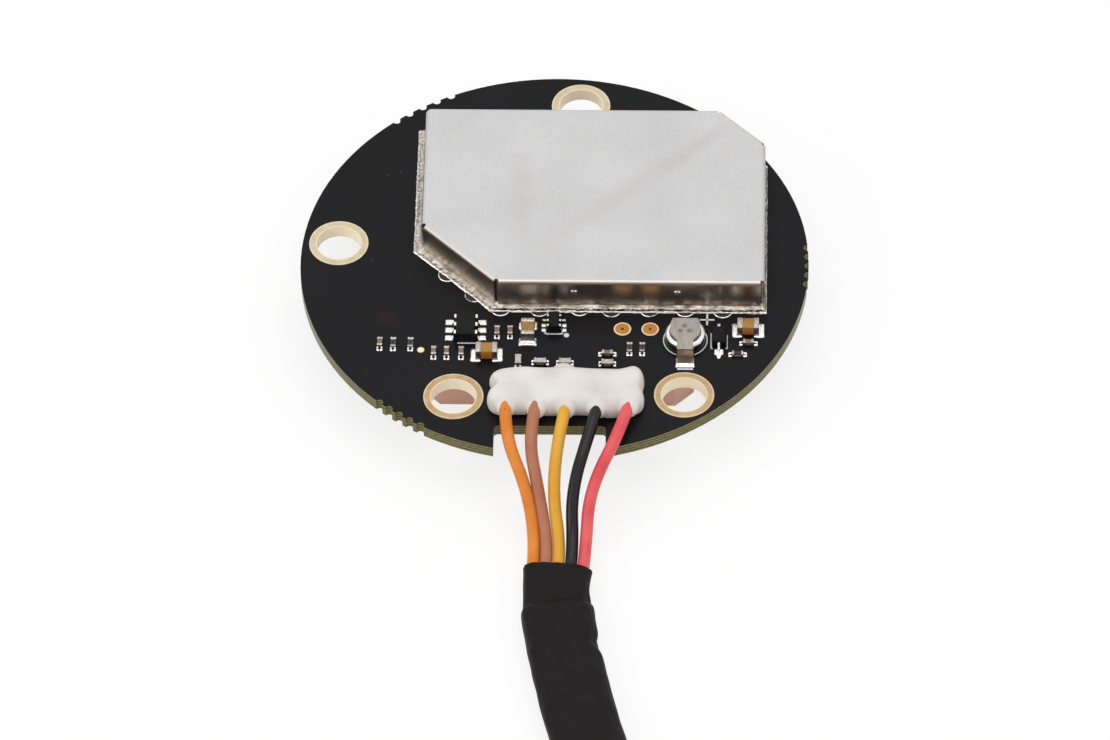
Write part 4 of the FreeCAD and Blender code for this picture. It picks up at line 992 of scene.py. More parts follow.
def baked(made, name=None):
    """The object with its modifiers turned into plain mesh; the source object goes."""
    bpy.context.view_layer.update()
    graph = bpy.context.evaluated_depsgraph_get()
    mesh = bpy.data.meshes.new_from_object(made.evaluated_get(graph), depsgraph=graph)
    plain = new_object(name or made.name + "_mesh", mesh)
    bpy.data.objects.remove(made)
    return plain


def piece(made, material, body="board", stands_for=()):
    """Gives a piece its material and body, and hides the CAD nodes it stands for."""
    if made.data.materials:
        made.data.materials[0] = material
    else:
        made.data.materials.append(material)
    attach(made, body)
    if stands_for:
        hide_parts(*stands_for)
    return made


def lumps(node):
    """Each separate solid of a CAD node, as the list of its corner points."""
    bm = bmesh.new()
    bm.from_mesh(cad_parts[node].data)
    bmesh.ops.remove_doubles(bm, verts=bm.verts, dist=0.0005 * MM)
    seen = set()
    groups = []
    for start in bm.verts:
        if start in seen:
            continue
        seen.add(start)
        waiting = [start]
        points = []
        while waiting:
            vertex = waiting.pop()
            points.append(vertex.co.copy())
            for edge in vertex.link_edges:
                other = edge.other_vert(vertex)
                if other not in seen:
                    seen.add(other)
                    waiting.append(other)
        groups.append(points)
    bm.free()
    return groups


def corners(points):
    """Lowest and highest corner of a group of points."""
    low = Vector([min(p[axis] for p in points) for axis in range(3)])
    high = Vector([max(p[axis] for p in points) for axis in range(3)])
    return low, high


# ---- Geometry Nodes: copies of one prototype at points with their own turn and size ----------
def copies_tree():
    """Sets a prototype at each point, turned and sized by the point's own values."""
    tree = bpy.data.node_groups.new("set_copies", "GeometryNodeTree")
    for name, kind in (
        ("Points", "NodeSocketGeometry"),
        ("Prototype", "NodeSocketObject"),
        ("Finish", "NodeSocketMaterial"),
        ("Oversize", "NodeSocketFloat"),
    ):
        tree.interface.new_socket(name, in_out="INPUT", socket_type=kind)
    tree.interface.new_socket("Copies", in_out="OUTPUT", socket_type="NodeSocketGeometry")
    given = add(tree, "NodeGroupInput")
    shape = add(tree, "GeometryNodeObjectInfo", {"Object": given.outputs["Prototype"]})
    turn = add(tree, "GeometryNodeInputNamedAttribute", {"Name": "turn"}, data_type="FLOAT_VECTOR")
    size = add(tree, "GeometryNodeInputNamedAttribute", {"Name": "size"}, data_type="FLOAT_VECTOR")
    grown = add(
        tree,
        "VectorMath",
        {0: size.outputs["Attribute"], "Scale": given.outputs["Oversize"]},
        operation="SCALE",
    )
    copied = add(
        tree,
        "GeometryNodeInstanceOnPoints",
        {
            "Points": given.outputs["Points"],
            "Instance": shape.outputs["Geometry"],
            "Rotation": turn.outputs["Attribute"],
            "Scale": grown,
        },
    )
    real = add(tree, "GeometryNodeRealizeInstances", {"Geometry": copied.outputs["Instances"]})
    finish = add(
        tree,
        "GeometryNodeSetMaterial",
        {"Geometry": real.outputs["Geometry"], "Material": given.outputs["Finish"]},
    )
    add(tree, "NodeGroupOutput", {"Copies": finish.outputs["Geometry"]})
    return tree


def copies(name, prototype, places, material, oversize=1.0):
    """A mesh of copies of a prototype, from (point, turn about Z or three turns, size)."""
    mesh = bpy.data.meshes.new(name + "_points")
    mesh.from_pydata([tuple(point) for point, _, _ in places], [], [])
    turns = mesh.attributes.new("turn", "FLOAT_VECTOR", "POINT")
    sizes = mesh.attributes.new("size", "FLOAT_VECTOR", "POINT")
    for number, (_, turn, size) in enumerate(places):
        turns.data[number].vector = turn if hasattr(turn, "__len__") else (0, 0, turn)
        sizes.data[number].vector = size
    points = new_object(name + "_points", mesh)
    modifier = points.modifiers.new("copies", "NODES")
    modifier.node_group = COPIES
    values = {"Prototype": prototype, "Finish": material, "Oversize": oversize}
    for item in COPIES.interface.items_tree:
        if item.item_type == "SOCKET" and item.name in values:
            modifier[item.identifier] = values[item.name]
    return baked(points, name)


def rounded_block_shape(radius=0.09, name="rounded_block"):
    """A unit block with rounded edges, as a prototype."""
    bm = bmesh.new()
    bmesh.ops.create_cube(bm, size=1.0)
    bmesh.ops.bevel(
        bm, geom=bm.edges[:], offset=radius, segments=3, profile=0.5, affect="EDGES"
    )
    return from_bmesh(name, bm, 60)


def dome_shape(sides=48):
    """A low round pad of solder, of unit radius and height: flat inside, rounded at its rim."""
    profile = [(0.0, 0.8), (0.5, 0.82), (0.78, 0.95), (0.86, 1.0)]
    profile += [(0.92, 0.85), (0.97, 0.5), (1.0, 0.0)]
    vertices = [(0, 0, profile[0][1])]
    for reach, height in profile[1:]:
        for side in range(sides):
            angle = 2 * math.pi * side / sides
            vertices.append((reach * math.cos(angle), reach * math.sin(angle), height))
    rings = len(profile) - 1
    faces = [(0, 1 + side, 1 + (side + 1) % sides) for side in range(sides)]
    for ring in range(rings - 1):
        a = 1 + ring * sides
        for side in range(sides):
            after = (side + 1) % sides
            faces.append((a + side, a + sides + side, a + sides + after, a + after))
    faces.append(tuple(1 + (rings - 1) * sides + side for side in reversed(range(sides))))
    return mesh_piece("dome", vertices, faces, 80)


# ---- shield: solder land and domes -----------------------------------------------------------
def can_outline(node, cuts, inset=0.0):
    """The six-cornered plan in a node's box, its two cuts given, set in all round."""
    low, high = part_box(node)
    inset *= MM
    shrink = inset * (2 - math.sqrt(2))
    left, right = low.x + inset, high.x - inset
    near, far = low.y + inset, high.y - inset
    front_line = left + near + cuts[0] * MM - shrink
    back_line = right + far - cuts[1] * MM + shrink
    return [
        Vector((left, front_line - left, 0)),
        Vector((front_line - near, near, 0)),
        Vector((right, near, 0)),
        Vector((right, back_line - right, 0)),
        Vector((back_line - far, far, 0)),
        Vector((left, far, 0)),
    ]


def solder_land(outer, inner, grains):
    """A band of solder between two outlines, as a grid that follows both, and its strip values."""
    board_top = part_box("pcb_board")[1].z
    columns = []
    travelled = 0.0
    for number in range(6):
        after = (number + 1) % 6
        length = (outer[after] - outer[number]).length / MM
        count = int(length / LAND_STEP)
        for step in range(count):
            columns.append((number, after, step / count, travelled + length * step / count))
        travelled += length
    vertices = []
    strip = []
    for start, end, share, along in columns:
        edge_here = outer[start].lerp(outer[end], share)
        fence_here = inner[start].lerp(inner[end], share)
        outward = (edge_here - fence_here).normalized()
        for way, height in LAND_PROFILE:
            here = edge_here.lerp(fence_here, way)
            coarse = noise.noise(here * per_mm(1.3))
            fine = noise.noise(here * per_mm(0.35) + Vector((7, 3, 1)))
            # The molten edge wanders a little; near the fence the fillet is drawn smooth.
            here += outward * (1 - way) ** 3 * (0.06 * coarse + 0.07 * fine) * MM
            loose = grains[start] * max(0.0, 1 - way / 0.6)
            rough = 0.12 * coarse + (0.3 * coarse + 0.95 * fine) * loose
            if 0.1 < way < 0.6:
                height *= 1 + 0.5 * grains[start] * coarse
            here.z = board_top + height * (1 + rough * min(1.0, way * 12)) * MM
            vertices.append(here)
            strip.append((along, way, grains[start]))
    rows = len(LAND_PROFILE)
    faces = []
    for column in range(len(columns)):
        a = column * rows
        b = ((column + 1) % len(columns)) * rows
        for row in range(rows - 1):
            faces.append((a + row, b + row, b + row + 1, a + row + 1))
    # The underside lies on the board.
    base = len(vertices)
    for column in range(len(columns)):
        for row in (0, rows - 1):
            point = vertices[column * rows + row].copy()
            point.z = board_top
            vertices.append(point)
            strip.append(strip[column * rows + row])
    for column in range(len(columns)):
        after = (column + 1) % len(columns)
        a, b = base + 2 * column, base + 2 * after
        faces.append((a, a + 1, b + 1, b))
        faces.append((column * rows, a, b, after * rows))
        faces.append((column * rows + rows - 1, after * rows + rows - 1, b + 1, a + 1))
    return vertices, faces, strip


def build_shield(finishes):
    """The solder round the shield, inside and out, and the row of domes along it."""
    fence = can_outline("shield_lid", LID_CUTS, FENCE_INSET)
    vertices, faces, strip = solder_land(
        can_outline("shield_land_solder", LAND_CUTS), fence, LAND_GRAIN
    )
    far_side = can_outline("shield_lid", LID_CUTS, FENCE_INSET + FENCE_SHEET)
    pool_edge = can_outline("shield_lid", LID_CUTS, FENCE_INSET + FENCE_SHEET + POOL_WIDTH)
    more_vertices, more_faces, more_strip = solder_land(pool_edge, far_side, POOL_GRAIN)
    shift = len(vertices)
    faces += [tuple(index + shift for index in face) for face in more_faces]
    land = mesh_piece("solder_land", vertices + more_vertices, faces, 80)
    set_strip(land.data, strip + more_strip)
    face_out(land, 80)
    piece(land, finishes["land"], stands_for=["shield_land_solder"])
    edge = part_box("shield_land_solder")[0].y
    dome = dome_shape()
    places = []
    for number, group in enumerate(lumps("shield_solder_domes")):
        low, high = corners(group)
        size = Vector((DOME_RADIUS, DOME_RADIUS, DOME_HEIGHT)) * MM
        # Each solid is what the land leaves of a round pad: its full width gives the middle.
        if high.x - low.x > 1.15 * (high.y - low.y):
            reach = DOME_REACH + 0.07 * math.sin(number * 2.4)
            centre = Vector(((low.x + high.x) / 2, edge + (DOME_RADIUS - reach) * MM, low.z))
        else:
            middle = (low + high) / 2
            inward = (DOME_RADIUS - CORNER_DOME_REACH) * math.sqrt(0.5) * MM
            centre = Vector((middle.x + inward, middle.y + inward, low.z))
        places.append((centre, 0.0, size))
    domes = copies("solder_domes", dome, places, finishes["bump"])
    bpy.data.objects.remove(dome)
    piece(domes, finishes["bump"], stands_for=["shield_solder_domes"])


# ---- chip parts -----------------------------------------------------------------------------
def solder_places():
    """Where each solder joint is: the foot of its high edge, its way out, and its size."""
    places = []
    for group in lumps("component_solder"):
        low, high = corners(group)
        middle = (low + high) / 2
        crest = [p for p in group if p.z > high.z - 0.001 * MM]
        edge = sum(crest, Vector()) / len(crest)
        out = middle - edge
        if abs(out.x) > abs(out.y):
            turn = 0.0 if out.x > 0 else math.pi
            size = Vector((high.x - low.x, high.y - low.y, high.z - low.z))
        else:
            turn = math.pi / 2 if out.y > 0 else -math.pi / 2
            size = Vector((high.y - low.y, high.x - low.x, high.z - low.z))
        places.append((Vector((edge.x, edge.y, low.z)), turn, size))
    return places


def block_places(node):
    """Each solid of a node as a block: its middle, no turn, and its size."""
    places = []
    for group in lumps(node):
        low, high = corners(group)
        places.append(((low + high) / 2, 0.0, high - low))
    return places


def lobed_shape():
    """Solder run out from a small cap: two rounded lobes that meet only at their far end."""
    vertices = []
    faces = []
    across, along = 12, 12
    count = across + 1
    for side in (-1, 1):
        first = len(vertices)
        for i in range(along + 1):
            u = i / along
            tip = math.sqrt(max(0.0, 1 - max(0.0, (u - 0.55) / 0.45) ** 2.6))
            half = (0.16 + 0.1 * min(1.0, u / 0.75)) * (0.35 + 0.65 * tip)
            centre = side * (0.34 - 0.09 * min(1.0, u / 0.75))
            for j in range(across + 1):
                w = 2 * j / across - 1
                climb = 0.9 * (1 - u) ** 4
                height = max(climb, 0.5 * (0.15 + 0.85 * tip)) * math.sqrt(max(0.0, 1 - w**4))
                vertices.append((u, centre + w * half, height + 0.02))
        for i in range(along):
            for j in range(across):
                a = first + i * count + j
                faces.append((a, a + count, a + count + 1, a + 1))
        skirt(vertices, faces, first, across, along)
    made = mesh_piece("lobed_pool", vertices, faces, 70)
    face_out(made, 70)
    return made


def plain_shape():
    """Solder of a wide cap: a low full pillow on the pad that climbs the cap only a little."""

    def height(u, v):
        side = min(1.0, (1 - abs(v)) / 0.22)
        climb = 0.75 * (1 - u / 0.3) ** 2 * (0.4 + 0.6 * side) if u < 0.3 else 0.0
        edge = math.sqrt(max(0.0, 1 - max(0.0, (u - 0.5) / 0.5) ** 3))
        return max(climb, 0.26 * edge * math.sqrt(max(0.0, 1 - abs(v) ** 7)))

    def half(u):
        return 0.5 * (1 - 0.05 * max(0.0, (u - 0.8) / 0.2) ** 2)

    return pool_shape("plain_pool", height, half)


def tipped_shape():
    """Solder of a lead that ends in a point: two lobes beside the lead, then a drop."""

    def half(u):
        if u < 0.48:
            return 0.5 - 0.06 * (u / 0.48) ** 6
        if u < 0.56:
            return 0.44 - (u - 0.48) / 0.08 * 0.2
        return 0.27 * math.sqrt(max(0.0, 1 - ((u - 0.56) / 0.44) ** 1.6)) + 0.005

    def height(u, v):
        waist = 1 - 0.75 * math.exp(-(((u - 0.52) / 0.05) ** 2))
        dip = 1 - 0.4 * math.exp(-((v / 0.2) ** 2)) * (1 if u < 0.5 else 0)
        return 0.95 * waist * dip * math.sqrt(max(0.02, 1 - abs(v) ** 4)) * (1 - 0.5 * u**4)

    return pool_shape("tipped_pool", height, half, along=28)


def pad_shape():
    """Solder round a foot: a low flat pool with a soft edge all round."""

    def height(u, v):
        run = 1 - abs(2 * u - 1) ** 6
        return math.sqrt(max(0.0, run)) * math.sqrt(max(0.0, 1 - abs(v) ** 6)) * (0.85 + 0.15 * u)

    return pool_shape("foot_pool", height, lambda u: 0.5 * (1 - 0.1 * abs(2 * u - 1) ** 5))


def pool_shape(name, height, half, across=16, along=14):
    """A pool of unit reach along X from its high edge, unit width along Y and unit height."""
    vertices = []
    faces = []
    for i in range(along + 1):
        u = i / along
        for j in range(across + 1):
            v = 2 * j / across - 1
            vertices.append((u, v * half(u), height(u, v) + 0.02))
    count = across + 1
    for i in range(along):
        for j in range(across):
            a = i * count + j
            faces.append((a, a + count, a + count + 1, a + 1))
    skirt(vertices, faces, 0, across, along)
    made = mesh_piece(name, vertices, faces, 70)
    face_out(made, 70)
    return made


def skirt(vertices, faces, first, across, along, base=0.0):
    """Closes a grid of points, stored row by row from a first index, down to the board."""
    count = across + 1
    rim = [first + j for j in range(count)]
    rim += [first + i * count + across for i in range(1, along + 1)]
    rim += [first + along * count + j for j in range(across - 1, -1, -1)]
    rim += [first + i * count for i in range(along - 1, 0, -1)]
    low = len(vertices)
    vertices += [(vertices[index][0], vertices[index][1], base) for index in rim]
    for number, index in enumerate(rim):
        after = (number + 1) % len(rim)
        faces.append((index, rim[after], low + after, low + number))
    faces.append(tuple(low + number for number in reversed(range(len(rim)))))


def within(node, point, margin):
    """True where a point lies over a node's box, grown by a margin."""
    low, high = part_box(node)
    grown = margin * MM
    return all(low[axis] - grown < point[axis] < high[axis] + grown for axis in (0, 1))


def build_solder(finishes):
    """Each kind of solder joint, as copies of its own prototype."""
    kinds = {"lobed": [], "plain": [], "tipped": [], "foot": []}
    legs = ("voltage_regulator_legs", "signal_buffer_legs")
    for foot, turn, size in solder_places():
        way = Vector((math.cos(turn), math.sin(turn), 0))
        if within("backup_cell_top_strap", foot, 0.2):
            continue
        if any(within(name, foot, 0.1) for name in legs):
            # The pool starts under the foot, whose length is what the leg has past its bend.
            wide = size.y > 0.4 * MM
            # The small part's back pads were left nearly bare.
            if not wide and foot.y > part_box("signal_buffer_body")[1].y - 0.5 * MM:
                continue
            back, spare = (value * MM for value in (WIDE_FOOT if wide else NARROW_FOOT))
            size = Vector((size.x + back, size.y + spare, FOOT_POOL_HEIGHT * MM))
            kinds["foot"].append((foot - way * back, turn, size))
        elif within("charging_diode_legs", foot, 0.1):
            if size.x > 0.8 * MM:
                size.z = LEAD_POOL_HEIGHT * MM
                kinds["tipped"].append((foot, turn, size))
            else:
                kinds["lobed"].append((foot, turn, size))
        elif size.y > 1.0 * MM:
            kinds["plain"].append((foot, turn, size))
            # The pad is wider than the part, so some solder shows along its sides.
            under = PAD_UNDER * MM
            pad = Vector((size.x + under, size.y + PAD_SPARE * MM, PAD_HEIGHT * MM))
            kinds["foot"].append((foot - way * under, turn, pad))
        else:
            kinds["lobed"].append((foot, turn, size))
    shapes = {
        "lobed": lobed_shape(),
        "plain": plain_shape(),
        "tipped": tipped_shape(),
        "foot": pad_shape(),
    }
    joined = bmesh.new()
    for kind, places in kinds.items():
        made = copies(kind + "_pools", shapes[kind], places, finishes["solder"])
        joined.from_mesh(made.data)
        bpy.data.objects.remove(made)
        bpy.data.objects.remove(shapes[kind])
    joints = from_bmesh("solder_joints", joined, 70)
    piece(joints, finishes["solder"], stands_for=["component_solder"])


def build_cell_pad(finishes):
    """Solder under and beside the strap's foot, its front edge run ragged over the foot."""
    low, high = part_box("backup_cell_top_strap")
    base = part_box("pcb_board")[1].z
    middle = (low.x + high.x) / 2
    half = CELL_PAD_WIDTH / 2 * MM
    foot_half = CELL_STRAP_WIDTH / 2 * MM
    back, front = low.y + CELL_FOOT_LENGTH * MM, low.y - CELL_PAD_REACH * MM
    rim = CELL_PAD_RIM * MM
    across, along = 44, 30
    vertices = []
    for i in range(along + 1):
        y = back + (front - back) * i / along
        for j in range(across + 1):
            v = 2 * j / across - 1
            x = middle + v * half * (1 - 0.02 * (i / along) ** 8)
            here = Vector((x, y, 0))
            past = max(low.y - y, abs(x - middle) - foot_half) / MM
            rag = 0.16 * noise.noise(Vector((x * per_mm(5 / 16), 0.5, 0.2)))
            rag += 0.05 * noise.noise(here * per_mm(1 / 9))
            over = (y - low.y) / MM < 0.1 + rag
            edge = min(1.0, (half - abs(x - middle)) / rim, (y - front) / rim + 0.1)
            edge = min(edge, (back - y) / rim + 0.1)
            height = 0.16 if past < 0 and over else 0.1
            if past >= 0:
                ripple = 0.015 * noise.noise(here * per_mm(0.2))
                height = 0.05 + 0.1 * math.exp(-past / 0.12) + ripple
            vertices.append((x, y, base + height * math.sqrt(max(0.0, edge)) * MM + 0.01 * MM))
    count = across + 1
    faces = []
    for i in range(along):
        for j in range(across):
            a = i * count + j
            faces.append((a, a + count, a + count + 1, a + 1))
    skirt(vertices, faces, 0, across, along, base)
    made = mesh_piece("cell_pad_solder", vertices, faces, 60)
    face_out(made, 60)
    piece(made, finishes["solder"])


def build_chip_parts(finishes):
    """Ceramic bodies, plated ends and lacquer of all the chip parts."""
    block = rounded_block_shape()
    for kind, finish, slot in (
        ("large_capacitor", "large_ceramic", "capacitor_ceramic"),
        ("small_capacitor", "small_ceramic", "capacitor_ceramic"),
        ("line_filter", "pale_ceramic", "filter_ceramic"),
    ):
        bodies = copies(kind + "_cores", block, block_places(kind + "_bodies"), finishes[finish])
        piece(bodies, finishes[finish], stands_for=[kind + "_bodies"])
    for kind in ("large_capacitor", "small_capacitor", "line_filter", "resistor"):
        ends = copies(kind + "_ends", block, block_places(kind + "_end_caps"), finishes["plating"])
        piece(ends, finishes["plating"], stands_for=[kind + "_end_caps"])
    # A resistor is a pale slab with black lacquer over its film.
    slabs, films = [], []
    for middle, turn, size in block_places("resistor_bodies"):
        low = middle.z - size.z / 2
        slab = Vector((size.x, size.y, 0.42 * size.z))
        film = Vector((size.x - 0.05 * MM, size.y - 0.05 * MM, 0.6 * size.z))
        slabs.append((Vector((middle.x, middle.y, low + slab.z / 2)), turn, slab))
        films.append((Vector((middle.x, middle.y, low + size.z - film.z / 2)), turn, film))
    slabs = copies("resistor_slabs", block, slabs, finishes["pale_ceramic"])
    piece(slabs, finishes["pale_ceramic"])
    films = copies("resistor_films", block, films, finishes["lacquer"])
    piece(films, finishes["lacquer"], stands_for=["resistor_bodies"])
    bpy.data.objects.remove(block)


# ---- white legend ink -----------------------------------------------------------------------
def stroke_mesh(bm, points, width, base):
    """A flat stroke of ink through plan points, with square ends."""
    left, right = [], []
    for number, point in enumerate(points):
        before = points[max(number - 1, 0)]
        after = points[min(number + 1, len(points) - 1)]
        way = (Vector(after) - Vector(before)).normalized()
        across = Vector((-way.y, way.x)) * (width / 2)
        left.append(Vector(point) + across)
        right.append(Vector(point) - across)
    top = [bm.verts.new((p.x, p.y, base + INK_THICKNESS * MM)) for p in left + right[::-1]]
    low = [bm.verts.new((p.x, p.y, base)) for p in left + right[::-1]]
    count = len(points)
    total = 2 * count
    for number in range(count - 1):
        mirror = total - 1 - number
        bm.faces.new((top[number], top[mirror], top[mirror - 1], top[number + 1]))
        bm.faces.new((low[number + 1], low[mirror - 1], low[mirror], low[number]))
    for number in range(total):
        after = (number + 1) % total
        bm.faces.new((top[number], top[after], low[after], low[number]))


def disc_mesh(bm, centre, radius, base):
    """A round dot of ink."""
    sides = 24
    rim = [math.radians(360 / sides * step) for step in range(sides)]
    spots = [(centre.x + radius * math.cos(a), centre.y + radius * math.sin(a)) for a in rim]
    top = [bm.verts.new((x, y, base + INK_THICKNESS * MM)) for x, y in spots]
    low = [bm.verts.new((x, y, base)) for x, y in spots]
    bm.faces.new(top)
    bm.faces.new(low[::-1])
    for number in range(sides):
        after = (number + 1) % sides
        bm.faces.new((top[number], low[number], low[after], top[after]))


def ring_points(centre, radius, start, end, count=48):
    """Plan points of an arc, by bearings in degrees."""
    angles = [math.radians(start + (end - start) * step / count) for step in range(count + 1)]
    return [(centre.x + radius * math.cos(a), centre.y + radius * math.sin(a)) for a in angles]


def build_legend(finishes):
    """Generic marks: part corners, the cell's ring and plus sign, and pin-one dots."""
    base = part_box("pcb_board")[1].z
    bm = bmesh.new()

    def line(start, end, width=STROKE):
        stroke_mesh(bm, [Vector(start) * MM, Vector(end) * MM], width * MM, base)

    def around(node):
        low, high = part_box(node)
        return (low + high) / 2 / MM, low / MM, high / MM

    middle, low, high = around("voltage_regulator_body")
    line((middle.x - 0.74, low.y - 0.1), (middle.x + 1.05, low.y - 0.1), 0.15)
    middle, low, high = around("signal_buffer_body")
    front = low.y - 0.05
    curl = [(-0.86, 0.16), (-0.76, 0.06), (-0.62, 0.0), (0.62, 0.0), (0.74, 0.05), (0.84, 0.14)]
    stroke_mesh(bm, [Vector((middle.x + x, front + y)) * MM for x, y in curl], 0.17 * MM, base)
    disc_mesh(bm, Vector((middle.x + 1.16, front - 0.15)) * MM, 0.25 * MM, base)
    middle, low, high = around("charging_diode_body")
    line((middle.x - 0.71, middle.y + 0.65), (middle.x - 0.7, middle.y - 1.27))
    line((middle.x + 0.78, middle.y + 0.45), (middle.x + 0.78, middle.y - 1.25), 0.07)
    line((middle.x - 0.75, middle.y - 1.24), (middle.x - 0.56, middle.y - 1.24), 0.13)
    line((middle.x + 0.64, middle.y - 1.22), (middle.x + 0.82, middle.y - 1.22), 0.13)
    middle, low, high = around("backup_cell_can")
    ring = ring_points(middle * MM, 2.0 * MM, -66, 246)
    stroke_mesh(bm, [Vector(p) for p in ring], 0.12 * MM, base)
    plus = (middle.x + 1.98, middle.y + 2.5)
    line((plus[0] - 0.67, plus[1]), (plus[0] + 0.67, plus[1]), 0.17)
    line((plus[0], plus[1] - 0.66), (plus[0], plus[1] + 0.7), 0.17)
    line((middle.x - 0.72, middle.y - 3.6), (middle.x + 0.74, middle.y - 3.6), 0.17)
    ink = from_bmesh("legend_marks", bm, 30)
    piece(ink, finishes["ink"])


# ---- lead -----------------------------------------------------------------------------------
def beside(points, shifts):
    """A plan route set to the side of another by a shift at each point, with mitred corners."""
    moved = []
    for number, (point, shift) in enumerate(zip(points, shifts)):
        before = points[max(number - 1, 0)]
        after = points[min(number + 1, len(points) - 1)]
        runs = [run.normalized() for run in (point - before, after - point) if run.length > 0]
        middle = sum(runs[1:], runs[0]).normalized()
        normal = Vector((-middle.y, middle.x, 0))
        half_turn = runs[0].angle(runs[-1]) / 2
        moved.append(point + normal * (shift / math.cos(half_turn)))
    return moved


def wire_route(name):
    """The whole route of one wire: its own fan, then its place in the row."""
    number = list(FAN_ROUTES).index(name) - (len(FAN_ROUTES) - 1) / 2
    middle = [Vector((x, y, ROW_HEIGHT)) for x, y in ROW_ROUTE]
    pitches = [WIRE_PITCH] * (len(middle) - SPREAD_POINTS) + [PLUG_PITCH] * SPREAD_POINTS
    row = beside(middle, [number * pitch for pitch in pitches])
    return [Vector(point) for point in FAN_ROUTES[name]] + row


def route_curve(name, points, radius):
    """A smooth open spline with the route's points as its control points."""
    curve = bpy.data.curves.new(name, "CURVE")
    curve.dimensions = "3D"
    curve.resolution_u = 14
    curve.bevel_depth = radius * MM
    curve.bevel_resolution = 6
    curve.use_fill_caps = True
    spline = curve.splines.new("NURBS")
    spline.points.add(len(points) - 1)
    for point, place in zip(spline.points, points):
        point.co = (*(place * MM), 1.0)
    spline.order_u = 3
    spline.use_endpoint_u = True
    return new_object(name, curve)


def followed(points):
    """The points along a route's spline."""
    guide = route_curve("route_guide", points, 0.0)
    bpy.context.view_layer.update()
    graph = bpy.context.evaluated_depsgraph_get()
    mesh = bpy.data.meshes.new_from_object(guide.evaluated_get(graph), depsgraph=graph)
    line = [vertex.co.copy() for vertex in mesh.vertices]
    bpy.data.objects.remove(guide)
    return line


def sleeve_mesh(name, line, profile, wall):
    """A flat shrunk sleeve along a line: stations carry width, height and lean, with a wall."""
    sides = 56
    stations = []
    travelled = 0.0
    for number, point in enumerate(line):
        if number:
            travelled += (point - line[number - 1]).length
        before = line[max(number - 1, 0)]
        after = line[min(number + 1, len(line) - 1)]
        way = (after - before).normalized()
        stations.append((point, way, travelled / MM))

    def loop(point, way, along, inset):
        across = Vector((-way.y, way.x, 0)).normalized()
        up = across.cross(way) * -1
        width, height, lean = profile(along)
        ring = []
        for side in range(sides):
            angle = 2 * math.pi * side / sides
            c, s = math.cos(angle), math.sin(angle)
            # A flat oval, pinched a little between the wires under it.
            u = math.copysign(abs(c) ** 0.7, c) * (width / 2 - inset)
            v = math.copysign(abs(s) ** 0.9, s) * (height / 2 - inset)
            over = math.cos(2 * math.pi * u / WIRE_PITCH) if abs(u) < width / 2 - 0.6 else 0.0
            v += math.copysign(0.035, s) * over * abs(s)
            wrinkle = noise.noise(Vector((along * 0.5, u * 0.35, 3.0 * s))) * 0.07
            spot = point + across * (u + lean + wrinkle * c) * MM + up * (v + wrinkle * s) * MM
            spot.z = max(spot.z, 0.03 * MM)
            ring.append(spot)
        return ring

    rings = [loop(*station, 0.0) for station in stations]
    inner = [loop(*station, wall) for station in stations]
    vertices = [p for ring in rings for p in ring] + [p for ring in inner for p in ring]
    count = len(rings)
    shift = count * sides
    faces = []
    for number in range(count - 1):
        for side in range(sides):
            a = number * sides + side
            b = number * sides + (side + 1) % sides
            faces.append((a, a + sides, b + sides, b))
            faces.append((a + shift, b + shift, b + sides + shift, a + sides + shift))
    for side in range(sides):
        after = (side + 1) % sides
        last = (count - 1) * sides
        faces.append((side, after, after + shift, side + shift))
        faces.append((last + side, last + side + shift, last + after + shift, last + after))
    made = mesh_piece(name, vertices, faces, 60)
    face_out(made, 60)
    return made


def inner_profile(along):
    """Width, height and lean of the narrow sleeve: drawn tight behind its open mouth."""
    mouth = math.exp(-along / 0.5)
    waist = 0.12 * math.sin(min(along, 4.0) / 4.0 * math.pi)
    return INNER_WIDTH + 0.15 * mouth - waist, INNER_HEIGHT + 0.12 * mouth, 0.0


def outer_profile(along):
    """Width, height and lean of the wide sleeve: a round shoulder, and a crease on one side."""
    share = min(1.0, along / 0.8)
    shoulder = math.sqrt(max(0.0, 1 - (1 - share) ** 2))
    crease = 0.36 * math.exp(-(((along - 5.0) / 0.9) ** 2))
    rise = 0.42 * shoulder
    return OUTER_WIDTH + rise - crease, OUTER_HEIGHT + rise, -0.5 * crease


def part_of(line, start_y, length):
    """The stretch of a line from where it passes start_y, resampled evenly, that long."""
    kept = []
    for a, b in zip(line, line[1:]):
        if not kept and b.y < start_y * MM:
            share = (a.y - start_y * MM) / (a.y - b.y)
            kept.append(a.lerp(b, share))
        if kept:
            kept.append(b)
    step = 0.3 * MM
    even = [kept[0]]
    carried = 0.0
    for a, b in zip(kept, kept[1:]):
        run = (b - a).length
        while carried + run >= step:
            a = a.lerp(b, (step - carried) / run)
            even.append(a)
            run = (b - a).length
            carried = 0.0
            if len(even) * step > length * MM:
                return even
        carried += run
    return even


def build_lead(finishes):
    """Five insulated wires side by side, and their two sleeves."""
    middle_line = followed(wire_route("yellow"))
    inner_line = part_of(middle_line, INNER_MOUTH_Y, INNER_LENGTH)
    outer_line = part_of(middle_line, OUTER_MOUTH_Y, OUTER_LENGTH)
    inner = sleeve_mesh("narrow_sleeve", inner_line, inner_profile, INNER_WALL)
    outer = sleeve_mesh("wide_sleeve", outer_line, outer_profile, OUTER_WALL)
    piece(inner, finishes["sleeve"], stands_for=["inner_sleeve"])
    piece(outer, finishes["sleeve"], stands_for=["outer_sleeve"])
    for name in FAN_ROUTES:
        points = wire_route(name)
        wire = route_curve("insulated_wire_" + name, points, WIRE_DIAMETER / 2)
        line = followed(points)
        piece(wire, finishes[name], stands_for=["wire_" + name])


